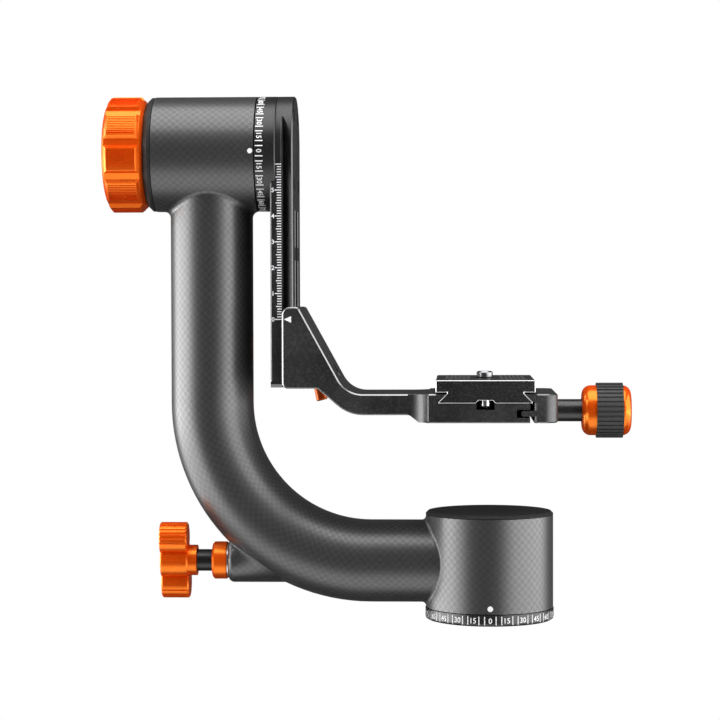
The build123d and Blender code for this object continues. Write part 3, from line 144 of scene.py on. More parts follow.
def makeEdgeGroup(values):
    tree, given, result = newGroup(
        "cutEdge", [
            ("Axis", "NodeSocketVector", (0.0, 1.0, 0.0)), ("Spread", "NodeSocketFloat", values["spread"]),
            ("Middle", "NodeSocketFloat", 0.0), ("First", "NodeSocketFloat", 0.0), ("Second", "NodeSocketFloat", 0.0),
        ],
        [("Mask", "NodeSocketFloat"), ("UnderHighlight", "NodeSocketFloat")],
    )
    coords = addNode(tree, "ShaderNodeTexCoord")
    normal = coords.outputs["Normal"]
    sizes = []
    for vector in (normal, coords.outputs["Object"]):
        along = addNode(tree, "ShaderNodeVectorMath", {0: vector, 1: given.outputs["Axis"]}, operation="DOT_PRODUCT")
        sizes.append(along.outputs["Value"])
    turned = calc(tree, "COMPARE", calc(tree, "ABSOLUTE", sizes[0]), values["slant"], given.outputs["Spread"])
    away = calc(tree, "ABSOLUTE", calc(tree, "SUBTRACT", sizes[1], given.outputs["Middle"]))
    levels = [calc(tree, "COMPARE", away, given.outputs[label], values["reach"]) for label in ("First", "Second")]
    mask = calc(tree, "MULTIPLY", turned, calc(tree, "MAXIMUM", *levels))
    # Cut corners that face down are picked out as well, for a painted highlight
    up = addNode(tree, "ShaderNodeSeparateXYZ", {"Vector": normal}).outputs["Z"]
    underHighlight = remap(tree, up, values["underHigh"], values["underLow"])
    setInput(tree, result.inputs["Mask"], mask)
    setInput(tree, result.inputs["UnderHighlight"], calc(tree, "MULTIPLY", mask, underHighlight))
    return tree


# Lines that a lathe leaves
turnedForm = {"scale": 900.0, "stretch": (1.0, 0.04, 0.04), "detail": 3.0}


def makeTurnedGroup(values):
    tree, given, result = newGroup(
        "turnedLines", [("Scale", "NodeSocketFloat", values["scale"])], [("Height", "NodeSocketFloat")],
    )
    spot = addNode(tree, "ShaderNodeTexCoord").outputs["Object"]
    stretched = addNode(tree, "ShaderNodeVectorMath", {0: spot, 1: values["stretch"]}, operation="MULTIPLY")
    lines = addNode(tree, "ShaderNodeTexNoise", {
        "Vector": stretched.outputs[0], "Scale": given.outputs["Scale"], "Detail": values["detail"],
    })
    setInput(tree, result.inputs["Height"], lines.outputs[0])
    return tree


groups = {
    "grain": makeGrainGroup(grainForm), "edge": makeEdgeGroup(cutForm), "turned": makeTurnedGroup(turnedForm),
}


def newMaterial(name):
    material = bpy.data.materials.new(name)
    material.use_nodes = True
    tree = material.node_tree
    return material, tree, tree.nodes["Principled BSDF"]


# The bump is a strength and a depth in millimetres
def setBump(tree, shader, height, bump):
    strength, depth = bump
    made = addNode(tree, "ShaderNodeBump", {"Height": height, "Strength": strength, "Distance": depth * mm})
    setInput(tree, shader.inputs["Normal"], made.outputs[0])


def smudgedRough(tree, grain, rough, spread):
    less, more = spread
    return mixValue(tree, grain["Smudge"], rough - less, rough + more)


# A grey with a slight blue cast
def grey(tone):
    return (tone, tone, tone * 1.02, 1.0)


def shaded(base, share=1.0):
    return (*[value * share for value in base], 1.0)


black = {"grain": 1400.0, "spread": (0.05, 0.06), "cutRough": 0.34, "bump": (0.25, 0.04)}


# The levels are the depths of the cut corners, in millimetres from the middle
def makeBlack(
    name, levels=None, base=0.002, rough=0.4, sparkle=0.026, metallic=0.1, edge=0.13, underHighlight=0.3, gloss=0.6,
):
    material, tree, shader = newMaterial(name)
    grain = useGroup(tree, groups["grain"], {"Scale": black["grain"]})
    color = mixColor(tree, grain["Tone"], grey(base), grey(base + sparkle))
    roughness = smudgedRough(tree, grain, rough, black["spread"])
    if levels:
        first, second = levels
        cut = useGroup(tree, groups["edge"], {"First": first * mm, "Second": second * mm})
        # Cut corners take the edge tone; those facing down take the lighter under tone, a painted highlight
        cutEdgeAndUnderHighlight = mixColor(tree, cut["UnderHighlight"], grey(edge), grey(underHighlight))
        color = mixColor(tree, cut["Mask"], color, cutEdgeAndUnderHighlight)
        setInput(tree, shader.inputs["Metallic"], mixValue(tree, cut["Mask"], metallic, 1.0))
        roughness = mixFloat(tree, cut["Mask"], roughness, black["cutRough"])
    else:
        setInput(tree, shader.inputs["Metallic"], metallic)
    setInput(tree, shader.inputs["Base Color"], color)
    setInput(tree, shader.inputs["Roughness"], roughness)
    shader.inputs["Specular IOR Level"].default_value = gloss
    setBump(tree, shader, grain["Height"], black["bump"])
    return material


# Middle, outer and the width of the painted highlight line at the slab's edge are millimetres across the rail
railLook = {
    "middle": -80.4, "outer": 4.15, "slabHighlightWidth": 0.22, "front": 0.9, "edge": 0.09, "slabHighlightTone": 0.12,
    "base": 0.002, "sparkle": 0.012, "rough": 0.42, "metallic": 0.1, "gloss": 0.7,
}


def makeRailBlack(name, values):
    material, tree, shader = newMaterial(name)
    grain = useGroup(tree, groups["grain"], {"Scale": black["grain"]})
    coords = addNode(tree, "ShaderNodeTexCoord")
    across = addNode(tree, "ShaderNodeSeparateXYZ", {"Vector": coords.outputs["Object"]}).outputs["X"]
    facing = addNode(tree, "ShaderNodeSeparateXYZ", {"Vector": coords.outputs["Normal"]}).outputs["Y"]
    middle, outer = values["middle"] * mm, values["outer"] * mm
    corner = useGroup(tree, groups["edge"], {
        "Axis": (1.0, 0.0, 0.0), "Middle": middle, "First": outer, "Second": outer,
    })["Mask"]
    away = calc(tree, "ABSOLUTE", calc(tree, "SUBTRACT", across, middle))
    front = calc(tree, "GREATER_THAN", calc(tree, "ABSOLUTE", facing), values["front"])
    # A thin light line on the front and back faces along the slab's edge is a painted highlight
    slabHighlight = calc(tree, "MULTIPLY", front, calc(tree, "LESS_THAN", away, values["slabHighlightWidth"] * mm))
    color = mixColor(tree, grain["Tone"], grey(values["base"]), grey(values["base"] + values["sparkle"]))
    color = mixColor(tree, slabHighlight, color, grey(values["slabHighlightTone"]))
    color = mixColor(tree, corner, color, grey(values["edge"]))
    roughness = smudgedRough(tree, grain, values["rough"], black["spread"])
    setInput(tree, shader.inputs["Base Color"], color)
    setInput(tree, shader.inputs["Metallic"], mixValue(tree, corner, values["metallic"], 1.0))
    setInput(tree, shader.inputs["Roughness"], mixFloat(tree, corner, roughness, black["cutRough"]))
    shader.inputs["Specular IOR Level"].default_value = values["gloss"]
    setBump(tree, shader, grain["Height"], black["bump"])
    return material


orange = {"grain": 5200.0, "spread": (0.02, 0.05), "deep": (0.86, 0.8, 0.8), "metallic": 0.2, "bump": (0.12, 0.05)}


def makeOrange(name, base=(0.95, 0.08, 0.0012), rough=0.25, bend=2.9, tint=(1.0, 0.56, 0.08, 1.0)):
    material, tree, shader = newMaterial(name)
    grain = useGroup(tree, groups["grain"], {"Scale": orange["grain"]})
    lines = useGroup(tree, groups["turned"])
    deep = [value * share for value, share in zip(base, orange["deep"])]
    setInput(tree, shader.inputs["Base Color"], mixColor(tree, grain["Smudge"], shaded(deep), shaded(base)))
    setInput(tree, shader.inputs["Roughness"], smudgedRough(tree, grain, rough, orange["spread"]))
    shader.inputs["Metallic"].default_value = orange["metallic"]
    shader.inputs["IOR"].default_value = bend
    shader.inputs["Specular Tint"].default_value = tint
    setBump(tree, shader, lines["Height"], orange["bump"])
    return material


metal = {"grain": 2500.0, "lines": 1400.0, "spread": (0.04, 0.06), "dark": 0.85, "bump": (0.2, 0.05)}


def makeMetal(name, base=(0.6, 0.6, 0.61), rough=0.25, metallic=1.0):
    material, tree, shader = newMaterial(name)
    grain = useGroup(tree, groups["grain"], {"Scale": metal["grain"]})
    lines = useGroup(tree, groups["turned"], {"Scale": metal["lines"]})
    color = mixColor(tree, grain["Smudge"], shaded(base, metal["dark"]), shaded(base))
    setInput(tree, shader.inputs["Base Color"], color)
    setInput(tree, shader.inputs["Metallic"], metallic)
    setInput(tree, shader.inputs["Roughness"], smudgedRough(tree, grain, rough, metal["spread"]))
    setBump(tree, shader, lines["Height"], metal["bump"])
    return material


rubber = {"grain": 2600.0, "base": (0.03, 0.03, 0.03), "light": 1.7, "rough": (0.55, 0.68), "bump": (0.3, 0.06)}


def makeRubber(name, values):
    material, tree, shader = newMaterial(name)
    grain = useGroup(tree, groups["grain"], {"Scale": values["grain"]})
    color = mixColor(tree, grain["Tone"], shaded(values["base"]), shaded(values["base"], values["light"]))
    setInput(tree, shader.inputs["Base Color"], color)
    setInput(tree, shader.inputs["Roughness"], mixValue(tree, grain["Smudge"], *values["rough"]))
    setBump(tree, shader, grain["Height"], values["bump"])
    return material


plain = {"grain": 1800.0, "dark": 0.85, "rougher": 0.1, "bump": (0.15, 0.04)}


def makePlain(name, base, rough=0.5):
    material, tree, shader = newMaterial(name)
    grain = useGroup(tree, groups["grain"], {"Scale": plain["grain"]})
    color = mixColor(tree, grain["Smudge"], shaded(base, plain["dark"]), shaded(base))
    setInput(tree, shader.inputs["Base Color"], color)
    setInput(tree, shader.inputs["Roughness"], mixValue(tree, grain["Tone"], rough, rough + plain["rougher"]))
    setBump(tree, shader, grain["Height"], plain["bump"])
    return material


# One cell is one strand of the plain weave, so two cells make a period
weave = {
    "cell": 1.5 * mm, "blend": 0.3, "overShare": 0.7, "checkHeight": 0.5,
    "strandScale": 2400.0, "strandStretch": 0.14, "strandLow": 0.35, "strandHigh": 0.65,
    "fleckScale": 1500.0, "fleckLow": 0.73, "fleckHigh": 0.78,
    "dark": 0.006, "light": 0.036, "fleck": 0.07, "dull": 0.46, "shiny": 0.33,
    "gloss": 0.8, "coat": 0.35, "coatRough": 0.3, "bump": (0.3, 0.06),
}


def makeStrands(tree, spot, stretch, scale):
    drawn = addNode(tree, "ShaderNodeVectorMath", {0: spot, 1: stretch}, operation="MULTIPLY")
    made = addNode(tree, "ShaderNodeTexNoise", {"Vector": drawn.outputs[0], "Scale": scale, "Detail": 1.0})
    return made.outputs[0]


def makeWeaveGroup(values):
    tree, given, result = newGroup(
        "plainWeave", [("Vector", "NodeSocketVector", (0.0, 0.0, 0.0))],
        [("Mask", "NodeSocketFloat"), ("Height", "NodeSocketFloat"), ("Fleck", "NodeSocketFloat")],
    )
    spot = given.outputs["Vector"]
    parts = addNode(tree, "ShaderNodeSeparateXYZ", {"Vector": spot})
    waves = [
        calc(tree, "SINE", calc(tree, "MULTIPLY", parts.outputs[axis], math.pi / values["cell"])) for axis in (0, 1)
    ]
    check = calc(tree, "MULTIPLY", waves[0], waves[1])
    over = remap(tree, check, -values["blend"], values["blend"])
    thin = values["strandStretch"]
    warp = makeStrands(tree, spot, (thin, 1.0, 1.0), values["strandScale"])
    weft = makeStrands(tree, spot, (1.0, thin, 1.0), values["strandScale"])
    strand = mixFloat(tree, over, warp, weft)
    specks = addNode(tree, "ShaderNodeTexNoise", {"Vector": spot, "Scale": values["fleckScale"], "Detail": 0.0})
    share = values["overShare"]
    streaks = remap(tree, strand, values["strandLow"], values["strandHigh"], 0.0, 1.0 - share)
    mask = calc(tree, "ADD", calc(tree, "MULTIPLY", over, share), streaks)
    height = calc(tree, "ADD", calc(tree, "MULTIPLY", check, values["checkHeight"]), strand)
    setInput(tree, result.inputs["Mask"], mask)
    setInput(tree, result.inputs["Height"], height)
    setInput(tree, result.inputs["Fleck"], remap(tree, specks.outputs[0], values["fleckLow"], values["fleckHigh"]))
    return tree


groups["weave"] = makeWeaveGroup(weave)


def makeCarbon(name, values):
    material, tree, shader = newMaterial(name)
    laid = addNode(tree, "ShaderNodeUVMap", uv_map="weave").outputs["UV"]
    woven = useGroup(tree, groups["weave"], {"Vector": laid})
    threads = mixColor(tree, woven["Mask"], grey(values["dark"]), grey(values["light"]))
    setInput(tree, shader.inputs["Base Color"], mixColor(tree, woven["Fleck"], threads, grey(values["fleck"])))
    setInput(tree, shader.inputs["Roughness"], mixValue(tree, woven["Mask"], values["dull"], values["shiny"]))
    shader.inputs["Specular IOR Level"].default_value = values["gloss"]
    shader.inputs["Coat Weight"].default_value = values["coat"]
    shader.inputs["Coat Roughness"].default_value = values["coatRough"]
    setBump(tree, shader, woven["Height"], values["bump"])
    return material


markPaint = {"grain": 3000.0, "bright": 0.84, "dim": 0.7, "glow": 0.22, "rough": (0.5, 0.6)}


def makeMarkPaint(name, values):
    material, tree, shader = newMaterial(name)
    grain = useGroup(tree, groups["grain"], {"Scale": values["grain"]})
    color = mixColor(tree, grain["Tone"], grey(values["bright"]), grey(values["dim"]))
    setInput(tree, shader.inputs["Base Color"], color)
    setInput(tree, shader.inputs["Emission Color"], color)
    # The marks glow faintly, painted light that makes them brighter
    shader.inputs["Emission Strength"].default_value = values["glow"]
    setInput(tree, shader.inputs["Roughness"], mixValue(tree, grain["Smudge"], *values["rough"]))
    return material


cutLevels = {"jaw": (29.5, 29.5), "bracket": (23.0, 29.3), "plate": (29.9, 29.9)}
looks = {
    "carbon": makeCarbon("carbonWeave", weave),
    "black": makeBlack("blackBlasted"),
    "blackJaw": makeBlack("blackCutFront", cutLevels["jaw"], edge=0.16, underHighlight=0.5, gloss=1.0),
    "blackBracket": makeBlack("blackBracket", cutLevels["bracket"], sparkle=0.02, edge=0.26, underHighlight=0.4, gloss=1.0),
    "blackPlate": makeBlack("blackPlate", cutLevels["plate"], edge=0.45, underHighlight=0.95),
    "blackRail": makeRailBlack("blackRail", railLook),
    "blackHub": makeBlack("blackHub", base=0.004, rough=0.34, sparkle=0.012),
    "blackSmooth": makeBlack("blackSmooth", base=0.014, rough=0.3, sparkle=0.015),
    "blackDull": makeBlack("blackDull", base=0.005, rough=0.6, sparkle=0.01, metallic=0.0, gloss=0.35),
    "gunmetal": makeMetal("gunmetal", (0.13, 0.13, 0.135), 0.3),
    "orange": makeOrange("orangeAnodised"),
    # A darker copy of the orange for the lock lever, painted shade for the shadow it sits in
    "orangeShade": makeOrange("orangePaintedShade", (0.5, 0.048, 0.002), rough=0.32, bend=1.9, tint=(1.0, 0.5, 0.12, 1.0)),
    "steel": makeMetal("brightSteel"),
    "blackSteel": makeMetal("blackSteel", (0.03, 0.03, 0.032), 0.3, 0.6),
    "darkSteel": makeMetal("darkSteel", (0.32, 0.32, 0.33), 0.28),
    "bearing": makeMetal("bearingSteel", (0.72, 0.72, 0.73), 0.12),
    "bare": makeMetal("bareAluminium", (0.7, 0.71, 0.72), 0.32),
    "brass": makeMetal("turnedBrass", (0.72, 0.5, 0.2), 0.25),
    "rubber": makeRubber("blackRubber", rubber),
    "nylon": makePlain("nylon", (0.8, 0.79, 0.75)),
    "fibre": makePlain("frictionFibre", (0.3, 0.23, 0.16), 0.8),
    "mark": makeMarkPaint("whiteMarks", markPaint),
}
print("materials made")

slotLooks = {
    "carbon": "carbon", "black_anodised": "black", "orange_anodised": "orange", "bare_aluminium": "bare",
    "black_steel": "blackSteel", "bright_steel": "steel", "bearing_steel": "bearing", "rubber": "rubber",
    "brass": "brass", "nylon": "nylon", "fibre": "fibre",
}
# Pieces whose finish differs from the rest of their slot; the lock lever's darker orange is painted shade
ownLooks = {
    "height_bracket": "blackBracket", "rail": "blackRail", "rail_end_plate": "gunmetal",
    "clamp_jaw": "blackJaw", "release_plate": "blackPlate", "base_ring": "blackSmooth",
    "base_cap": "blackDull", "end_ring": "blackDull", "degree_hub": "blackHub",
    "clamp_sleeve": "blackSmooth", "pan_lock_sleeve": "blackSteel",
    "height_lock_lever": "orangeShade", "camera_screw": "darkSteel",
}
slotOf = {item["node"]: item["material_slot"] for item in frame["record"]["subparts"]}
for name, thing in nodes.items():
    thing.data.materials.clear()
    thing.data.materials.append(looks[ownLooks.get(name, slotLooks[slotOf[name]])])
print("pieces painted")


# Makes the object, gives it its look and ties it to its body
def place(name, bm, look, body, replaced=()):
    mesh = bpy.data.meshes.new(name)
    bm.to_mesh(mesh)
    bm.free()
    thing = bpy.data.objects.new(name, mesh)
    scene.collection.objects.link(thing)
    mesh.materials.append(looks[look])
    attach(thing, body)
    if replaced:
        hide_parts(*replaced)
    return thing


# The arm's shell in millimetres, as the solid has it
arm = {
    "housingR": 25.1, "tubeR": 16.25, "tubeZ": 22.7, "bendR": 62.8, "uprightX": -109.5, "tiltZ": 183.4,
    "upperR": 22.6, "bossR": 8.65, "bossX": -84.0,
}
arm = {key: value * mm for key, value in arm.items()}
# How close a face or point has to be to count as part of a form, and where a corner stays sharp
fit = {
    "merge": 0.002 * mm, "near": 0.12 * mm, "touch": 0.02 * mm, "bossSlack": 1.01, "facing": 0.82,
    "sharp": math.radians(32),
}


# Distance along the fibre, turn around it, and radius, for a point of the shell
def armSpot(point, kind):
    x, y, z = point
    bendX = arm["uprightX"] + arm["bendR"]
    bendZ = arm["tubeZ"] + arm["bendR"]
    if kind == "upper":
        return x, math.atan2(y, z - arm["tiltZ"]), arm["upperR"]
    if kind == "lower":
        return z, math.atan2(y, x), arm["housingR"]
    if kind == "boss":
        return x, math.atan2(y, z - arm["tubeZ"]), arm["bossR"]
    if x > bendX:
        return x, math.atan2(y, arm["tubeZ"] - z), arm["tubeR"]
    if z > bendZ:
        along = bendX - arm["bendR"] * math.pi / 2 - (z - bendZ)
        return along, math.atan2(y, arm["uprightX"] - x), arm["tubeR"]
    turn = math.atan2(bendX - x, bendZ - z)
    out = math.hypot(bendX - x, bendZ - z) - arm["bendR"]
    return bendX - arm["bendR"] * turn, math.atan2(y, out), arm["tubeR"]


def armKind(point):
    x, y, z = point
    if math.hypot(x, y) > arm["housingR"] - fit["near"] and x > -arm["housingR"] - fit["near"]:
        return "lower"
    if math.hypot(y, z - arm["tiltZ"]) > arm["upperR"] - fit["near"] and z > arm["tiltZ"] - arm["upperR"]:
        return "upper"
    inBoss = math.hypot(y, z - arm["tubeZ"]) < arm["bossR"] * fit["bossSlack"]
    if inBoss and x < arm["bossX"] and z < arm["tubeZ"] + arm["bossR"]:
        return "boss"
    return "tube"


# The exact normal of the cylinder or bend that a point lies on, so facets don't show
def armNormal(point, facing):
    x, y, z = point
    bendX = arm["uprightX"] + arm["bendR"]
    bendZ = arm["tubeZ"] + arm["bendR"]
    forms = [(Vector((x, y, 0.0)), arm["housingR"]), (Vector((0.0, y, z - arm["tiltZ"])), arm["upperR"])]
    if x > bendX:
        forms.append((Vector((0.0, y, z - arm["tubeZ"])), arm["tubeR"]))
    elif z > bendZ:
        forms.append((Vector((x - arm["uprightX"], y, 0.0)), arm["tubeR"]))
    else:
        inward = Vector((x - bendX, 0.0, z - bendZ)).normalized()
        core = Vector((bendX, 0.0, bendZ)) + inward * arm["bendR"]
        forms.append((point - core, arm["tubeR"]))
    for spoke, radius in forms:
        if abs(spoke.length - radius) < fit["touch"] and spoke.normalized().dot(facing) > fit["facing"]:
            return spoke.normalized()
    return None


def makeArm():
    bm = bmesh.new()
    bm.from_mesh(nodes["carbon_arm"].data)
    bmesh.ops.remove_doubles(bm, verts=bm.verts, dist=fit["merge"])
    spots = bm.loops.layers.uv.new("weave")
    repeat = 4 * weave["cell"]  # a whole number of these goes around, so the weave meets itself
    for face in bm.faces:
        face.smooth = True
        middle = face.calc_center_median()
        kind = armKind(middle)
        turnAtMiddle = armSpot(middle, kind)[1]
        for loop in face.loops:
            along, turn, radius = armSpot(loop.vert.co, kind)
            turn -= math.tau * round((turn - turnAtMiddle) / math.tau)
            around = round(math.tau * radius / repeat) * repeat / math.tau
            loop[spots].uv = (along, turn * around)
    mesh = place("armShell", bm, "carbon", "arm", ["carbon_arm"]).data
    mesh.set_sharp_from_angle(angle=fit["sharp"])
    even = [corner.vector.copy() for corner in mesh.corner_normals]
    for polygon in mesh.polygons:
        for index in polygon.loop_indices:
            exact = armNormal(mesh.vertices[mesh.loops[index].vertex_index].co, polygon.normal)
            if exact:
                even[index] = exact
    mesh.normals_split_custom_set(even)


makeArm()
print("arm made")

lettering = {"curveSteps": 3, "bold": 0.012, "dotSides": 20}


# Flat letters of the given height, centred on the origin
def textMesh(text, height):
    curve = bpy.data.curves.new("glyphs", "FONT")
    curve.body = text
    curve.resolution_u = lettering["curveSteps"]
    curve.offset = lettering["bold"]
    holder = bpy.data.objects.new("glyphs", curve)
    scene.collection.objects.link(holder)
    bpy.context.view_layer.update()
    mesh = bpy.data.meshes.new_from_object(holder)
    bpy.data.objects.remove(holder)
    bpy.data.curves.remove(curve)
    low = Vector([min(vertex.co[axis] for vertex in mesh.vertices) for axis in range(3)])
    high = Vector([max(vertex.co[axis] for vertex in mesh.vertices) for axis in range(3)])
    mesh.transform(Matrix.Scale(height / (high.y - low.y), 4) @ Matrix.Translation(-(low + high) / 2))
    return mesh


# Adds one flat mark and wraps it: spot turns the mark's own u and v into a place on the head
def addMark(bm, spot, bar=None, text=None, dot=None):
    first = len(bm.verts)
    if bar:
        bmesh.ops.create_grid(bm, x_segments=1, y_segments=1, size=0.5, matrix=Matrix.Diagonal((*bar, 1.0, 1.0)))
    elif dot:
        bmesh.ops.create_circle(bm, cap_ends=True, segments=lettering["dotSides"], radius=dot)
    else:
        mesh = textMesh(*text)
        bm.from_mesh(mesh)
        bpy.data.meshes.remove(mesh)
    bm.verts.ensure_lookup_table()
    for vert in bm.verts[first:]:
        vert.co = spot(vert.co.x, vert.co.y)


# Sizes in millimetres, steps in degrees
ringScale = {
    "radius": 25.34, "middleZ": 2.35, "digits": 2.1, "tickW": 0.36, "tickH": 3.3, "tickStep": 5, "labelStep": 15,
}
hubScale = {
    "radius": 22.63, "middleX": -88.85, "digits": 2.05, "tickW": 0.42, "tickH": 2.95, "tickStep": 5, "labelStep": 15,
}


def onRing(values, turn):
    start = math.radians(turn)
    radius = values["radius"] * mm
    return lambda u, v: (
        radius * math.sin(start + u / radius), -radius * math.cos(start + u / radius), values["middleZ"] * mm + v,
    )


def onHub(values, turn):
    start = math.radians(turn)
    radius = values["radius"] * mm
    return lambda u, v: (
        values["middleX"] * mm + v, -radius * math.cos(start - u / radius),
        arm["tiltZ"] + radius * math.sin(start - u / radius),
    )


def makeDegrees(name, values, onSurface, body):
    bm = bmesh.new()
    for turn in range(0, 360, values["tickStep"]):
        if turn % values["labelStep"] == 0:
            addMark(bm, onSurface(values, turn), text=(str(min(turn, 360 - turn)), values["digits"] * mm))
        else:
            addMark(bm, onSurface(values, turn), bar=(values["tickW"] * mm, values["tickH"] * mm))
    place(name, bm, "mark", body)


makeDegrees("panScaleMarks", ringScale, onRing, "base")
makeDegrees("tiltScaleMarks", hubScale, onHub, "swing")

dots = {
    "pan": {"radius": 25.14, "middleZ": 6.9, "size": 1.08}, "tilt": {"radius": 22.64, "middleX": -92.3, "size": 1.0},
}


def faceFront(bm):
    for face in bm.faces:
        face.normal_update()
        if face.normal.y > 0:
            face.normal_flip()


def makeDots(values):
    bm = bmesh.new()
    addMark(bm, onRing(values["pan"], 0), dot=values["pan"]["size"] * mm)
    addMark(bm, onHub(values["tilt"], 0), dot=values["tilt"]["size"] * mm)
    faceFront(bm)
    place("indexDots", bm, "mark", "arm")


makeDots(dots)

# Ticks grow up from zero, one to a millimetre, and a number stands at every ten
railScale = {
    "faceY": -19.63, "right": -80.45, "zeroZ": 118.4, "length": 60, "tickH": 0.36,
    "short": 1.7, "middle": 2.1, "long": 2.6, "digits": 1.7, "digitX": -83.75, "labels": 6,
}


def onFace(faceY, x, z):
    return lambda u, v: (x * mm + u, faceY * mm, z * mm + v)


def makeRailScale(values):
    bm = bmesh.new()
    for tick in range(values["length"] + 1):
        size = values["long"] if tick % 10 == 0 else values["middle"] if tick % 5 == 0 else values["short"]
        spot = onFace(values["faceY"], values["right"] - size / 2, values["zeroZ"] + tick)
        addMark(bm, spot, bar=(size * mm, values["tickH"] * mm))
    for number in range(values["labels"]):
        spot = onFace(values["faceY"], values["digitX"], values["zeroZ"] + 10 * number)
        addMark(bm, spot, text=(str(number), values["digits"] * mm))
    place("heightScaleMarks", bm, "mark", "swing")


makeRailScale(railScale)

pointer = {"y": -23.23, "middle": -77.43, "z": 118.4, "size": 1.45, "stretch": 1.29}


def makePointer(values):
    bm = bmesh.new()
    bmesh.ops.create_circle(bm, cap_ends=True, segments=3, radius=values["size"] * mm)
    spot = onFace(values["y"], values["middle"], values["z"])
    for vert in bm.verts:
        vert.co = spot(-vert.co.y * values["stretch"], vert.co.x)
    faceFront(bm)
    place("heightPointer", bm, "mark", "platform")


makePointer(pointer)
print("marks made")

# The floor is white to the camera, grey to other light and clear to reflections
stage = {
    "half": 4.0, "z": -0.0002, "bounce": (0.35, 0.35, 0.35, 1.0),
    "white": (1.0, 1.0, 1.0, 1.0), "none": (0.0, 0.0, 0.0, 1.0),
}


def makeStage(values):
    bm = bmesh.new()
    bmesh.ops.create_grid(bm, x_segments=1, y_segments=1, size=values["half"])
    bmesh.ops.translate(bm, verts=bm.verts, vec=(0.0, 0.0, values["z"]))
    mesh = bpy.data.meshes.new("floor")
    bm.to_mesh(mesh)
    bm.free()
    floor = bpy.data.objects.new("floor", mesh)
    scene.collection.objects.link(floor)
    material, tree, shader = newMaterial("floorWhite")
    path = addNode(tree, "ShaderNodeLightPath")
    seen = path.outputs["Is Camera Ray"]
    setInput(tree, shader.inputs["Base Color"], mixColor(tree, seen, values["bounce"], values["none"]))
    shader.inputs["Specular IOR Level"].default_value = 0.0
    setInput(tree, shader.inputs["Emission Color"], mixColor(tree, seen, values["none"], values["white"]))
    shader.inputs["Emission Strength"].default_value = 1.0
    clear = addNode(tree, "ShaderNodeBsdfTransparent")
    both = addNode(tree, "ShaderNodeMixShader", {
        0: path.outputs["Is Glossy Ray"], 1: shader.outputs[0], 2: clear.outputs[0],
    })
    setInput(tree, tree.nodes["Material Output"].inputs["Surface"], both.outputs[0])
    mesh.materials.append(material)


# Only reflections see the ground glow and the two low panels; turns and halves are degrees
studio = {
    "ambient": 0.08, "ground": 1.9, "groundStart": 0.4, "groundEnd": 0.7, "rearStart": -0.3, "rearEnd": 0.0,
    "horizon": 0.02, "lowReach": 0.45, "lowFade": 0.2, "soft": 10.0,
    "left": {"turn": -85.0, "half": 33.0, "power": 3.9}, "right": {"turn": 72.0, "half": 42.0, "power": 2.6},
}


def makePanel(tree, turn, panel, soft):
    away = calc(tree, "ABSOLUTE", calc(tree, "SUBTRACT", turn, math.radians(panel["turn"])))
    mask = remap(tree, away, math.radians(panel["half"] + soft), math.radians(panel["half"]))
    return calc(tree, "MULTIPLY", mask, panel["power"])


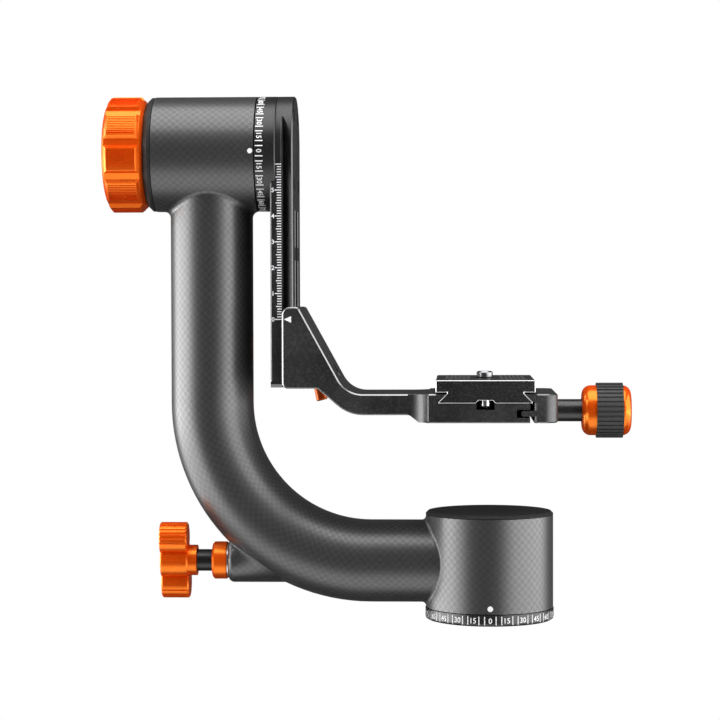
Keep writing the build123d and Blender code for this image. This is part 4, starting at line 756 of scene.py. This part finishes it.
def makeWorld(values):
    world = bpy.data.worlds.new("studio")
    scene.world = world
    world.use_nodes = True
    tree = world.node_tree
    background = tree.nodes["Background"]
    path = addNode(tree, "ShaderNodeLightPath")
    coords = addNode(tree, "ShaderNodeTexCoord")
    way = addNode(tree, "ShaderNodeSeparateXYZ", {"Vector": coords.outputs["Generated"]})
    down = calc(tree, "MULTIPLY", way.outputs["Z"], -1.0)
    turn = calc(tree, "ARCTAN2", way.outputs["X"], calc(tree, "MULTIPLY", way.outputs["Y"], -1.0))
    below = remap(tree, down, values["groundStart"], values["groundEnd"])
    inFront = remap(tree, way.outputs["Y"], values["rearEnd"], values["rearStart"])
    ground = calc(tree, "MULTIPLY", calc(tree, "MULTIPLY", below, inFront), values["ground"])
    start = remap(tree, down, -values["horizon"], values["horizon"])
    end = remap(tree, down, values["lowReach"] + values["lowFade"], values["lowReach"])
    low = calc(tree, "MULTIPLY", start, end)
    sides = [makePanel(tree, turn, values[side], values["soft"]) for side in ("left", "right")]
    panels = calc(tree, "MULTIPLY", low, calc(tree, "ADD", *sides))
    gloss = calc(tree, "ADD", panels, ground)
    light = calc(tree, "ADD", values["ambient"], calc(tree, "MULTIPLY", gloss, path.outputs["Is Glossy Ray"]))
    setInput(tree, background.inputs["Color"], (1.0, 1.0, 1.0, 1.0))
    setInput(tree, background.inputs["Strength"], mixValue(tree, path.outputs["Is Camera Ray"], light, 1.0))


# Turn and up are degrees seen from the aim, the rest is metres and watts
softBoxes = {
    "leftBox": {"turn": -88.0, "up": 14.0, "far": 1.1, "size": (1.15, 1.1), "power": 21.0},
    "rightBox": {"turn": 74.0, "up": 14.0, "far": 1.1, "size": (1.6, 1.1), "power": 18.5},
    "topBox": {"turn": 0.0, "up": 77.0, "far": 1.1, "size": (1.3, 1.15), "power": 17.0},
}
lightAim = Vector((-0.05, 0.0, 0.1))


def makeSoftBoxes(boxes, aim):
    for name, values in boxes.items():
        light = bpy.data.lights.new(name, "AREA")
        light.shape = "RECTANGLE"
        light.size, light.size_y = values["size"]
        light.energy = values["power"]
        lamp = bpy.data.objects.new(name, light)
        scene.collection.objects.link(lamp)
        turn, up = math.radians(values["turn"]), math.radians(values["up"])
        away = Vector((math.sin(turn) * math.cos(up), -math.cos(turn) * math.cos(up), math.sin(up)))
        at = aim + away * values["far"]
        lamp.location = at
        lamp.rotation_euler = (aim - at).to_track_quat("-Z", "Y").to_euler()


# Camera and aim in millimetres, roll in degrees
shot = {
    "at": (-11.5, -885.0, 126.4), "aim": (-51.0, 0.0, 102.1), "roll": 0.15, "lens": 112.1, "sensor": 36.0,
    "clip": (0.05, 20.0),
}


def makeCamera(values):
    data = bpy.data.cameras.new("photoCamera")
    data.lens = values["lens"]
    data.sensor_width = values["sensor"]
    data.clip_start, data.clip_end = values["clip"]
    camera = bpy.data.objects.new("photoCamera", data)
    scene.collection.objects.link(camera)
    at, aim = Vector(values["at"]) * mm, Vector(values["aim"]) * mm
    turn = (aim - at).to_track_quat("-Z", "Y").to_matrix() @ Matrix.Rotation(math.radians(-values["roll"]), 3, "Z")
    camera.matrix_world = Matrix.Translation(at) @ turn.to_4x4()
    scene.camera = camera


makeStage(stage)
makeWorld(studio)
makeSoftBoxes(softBoxes, lightAim)
makeCamera(shot)
scene.view_settings.view_transform = "Standard"
print("stage made")
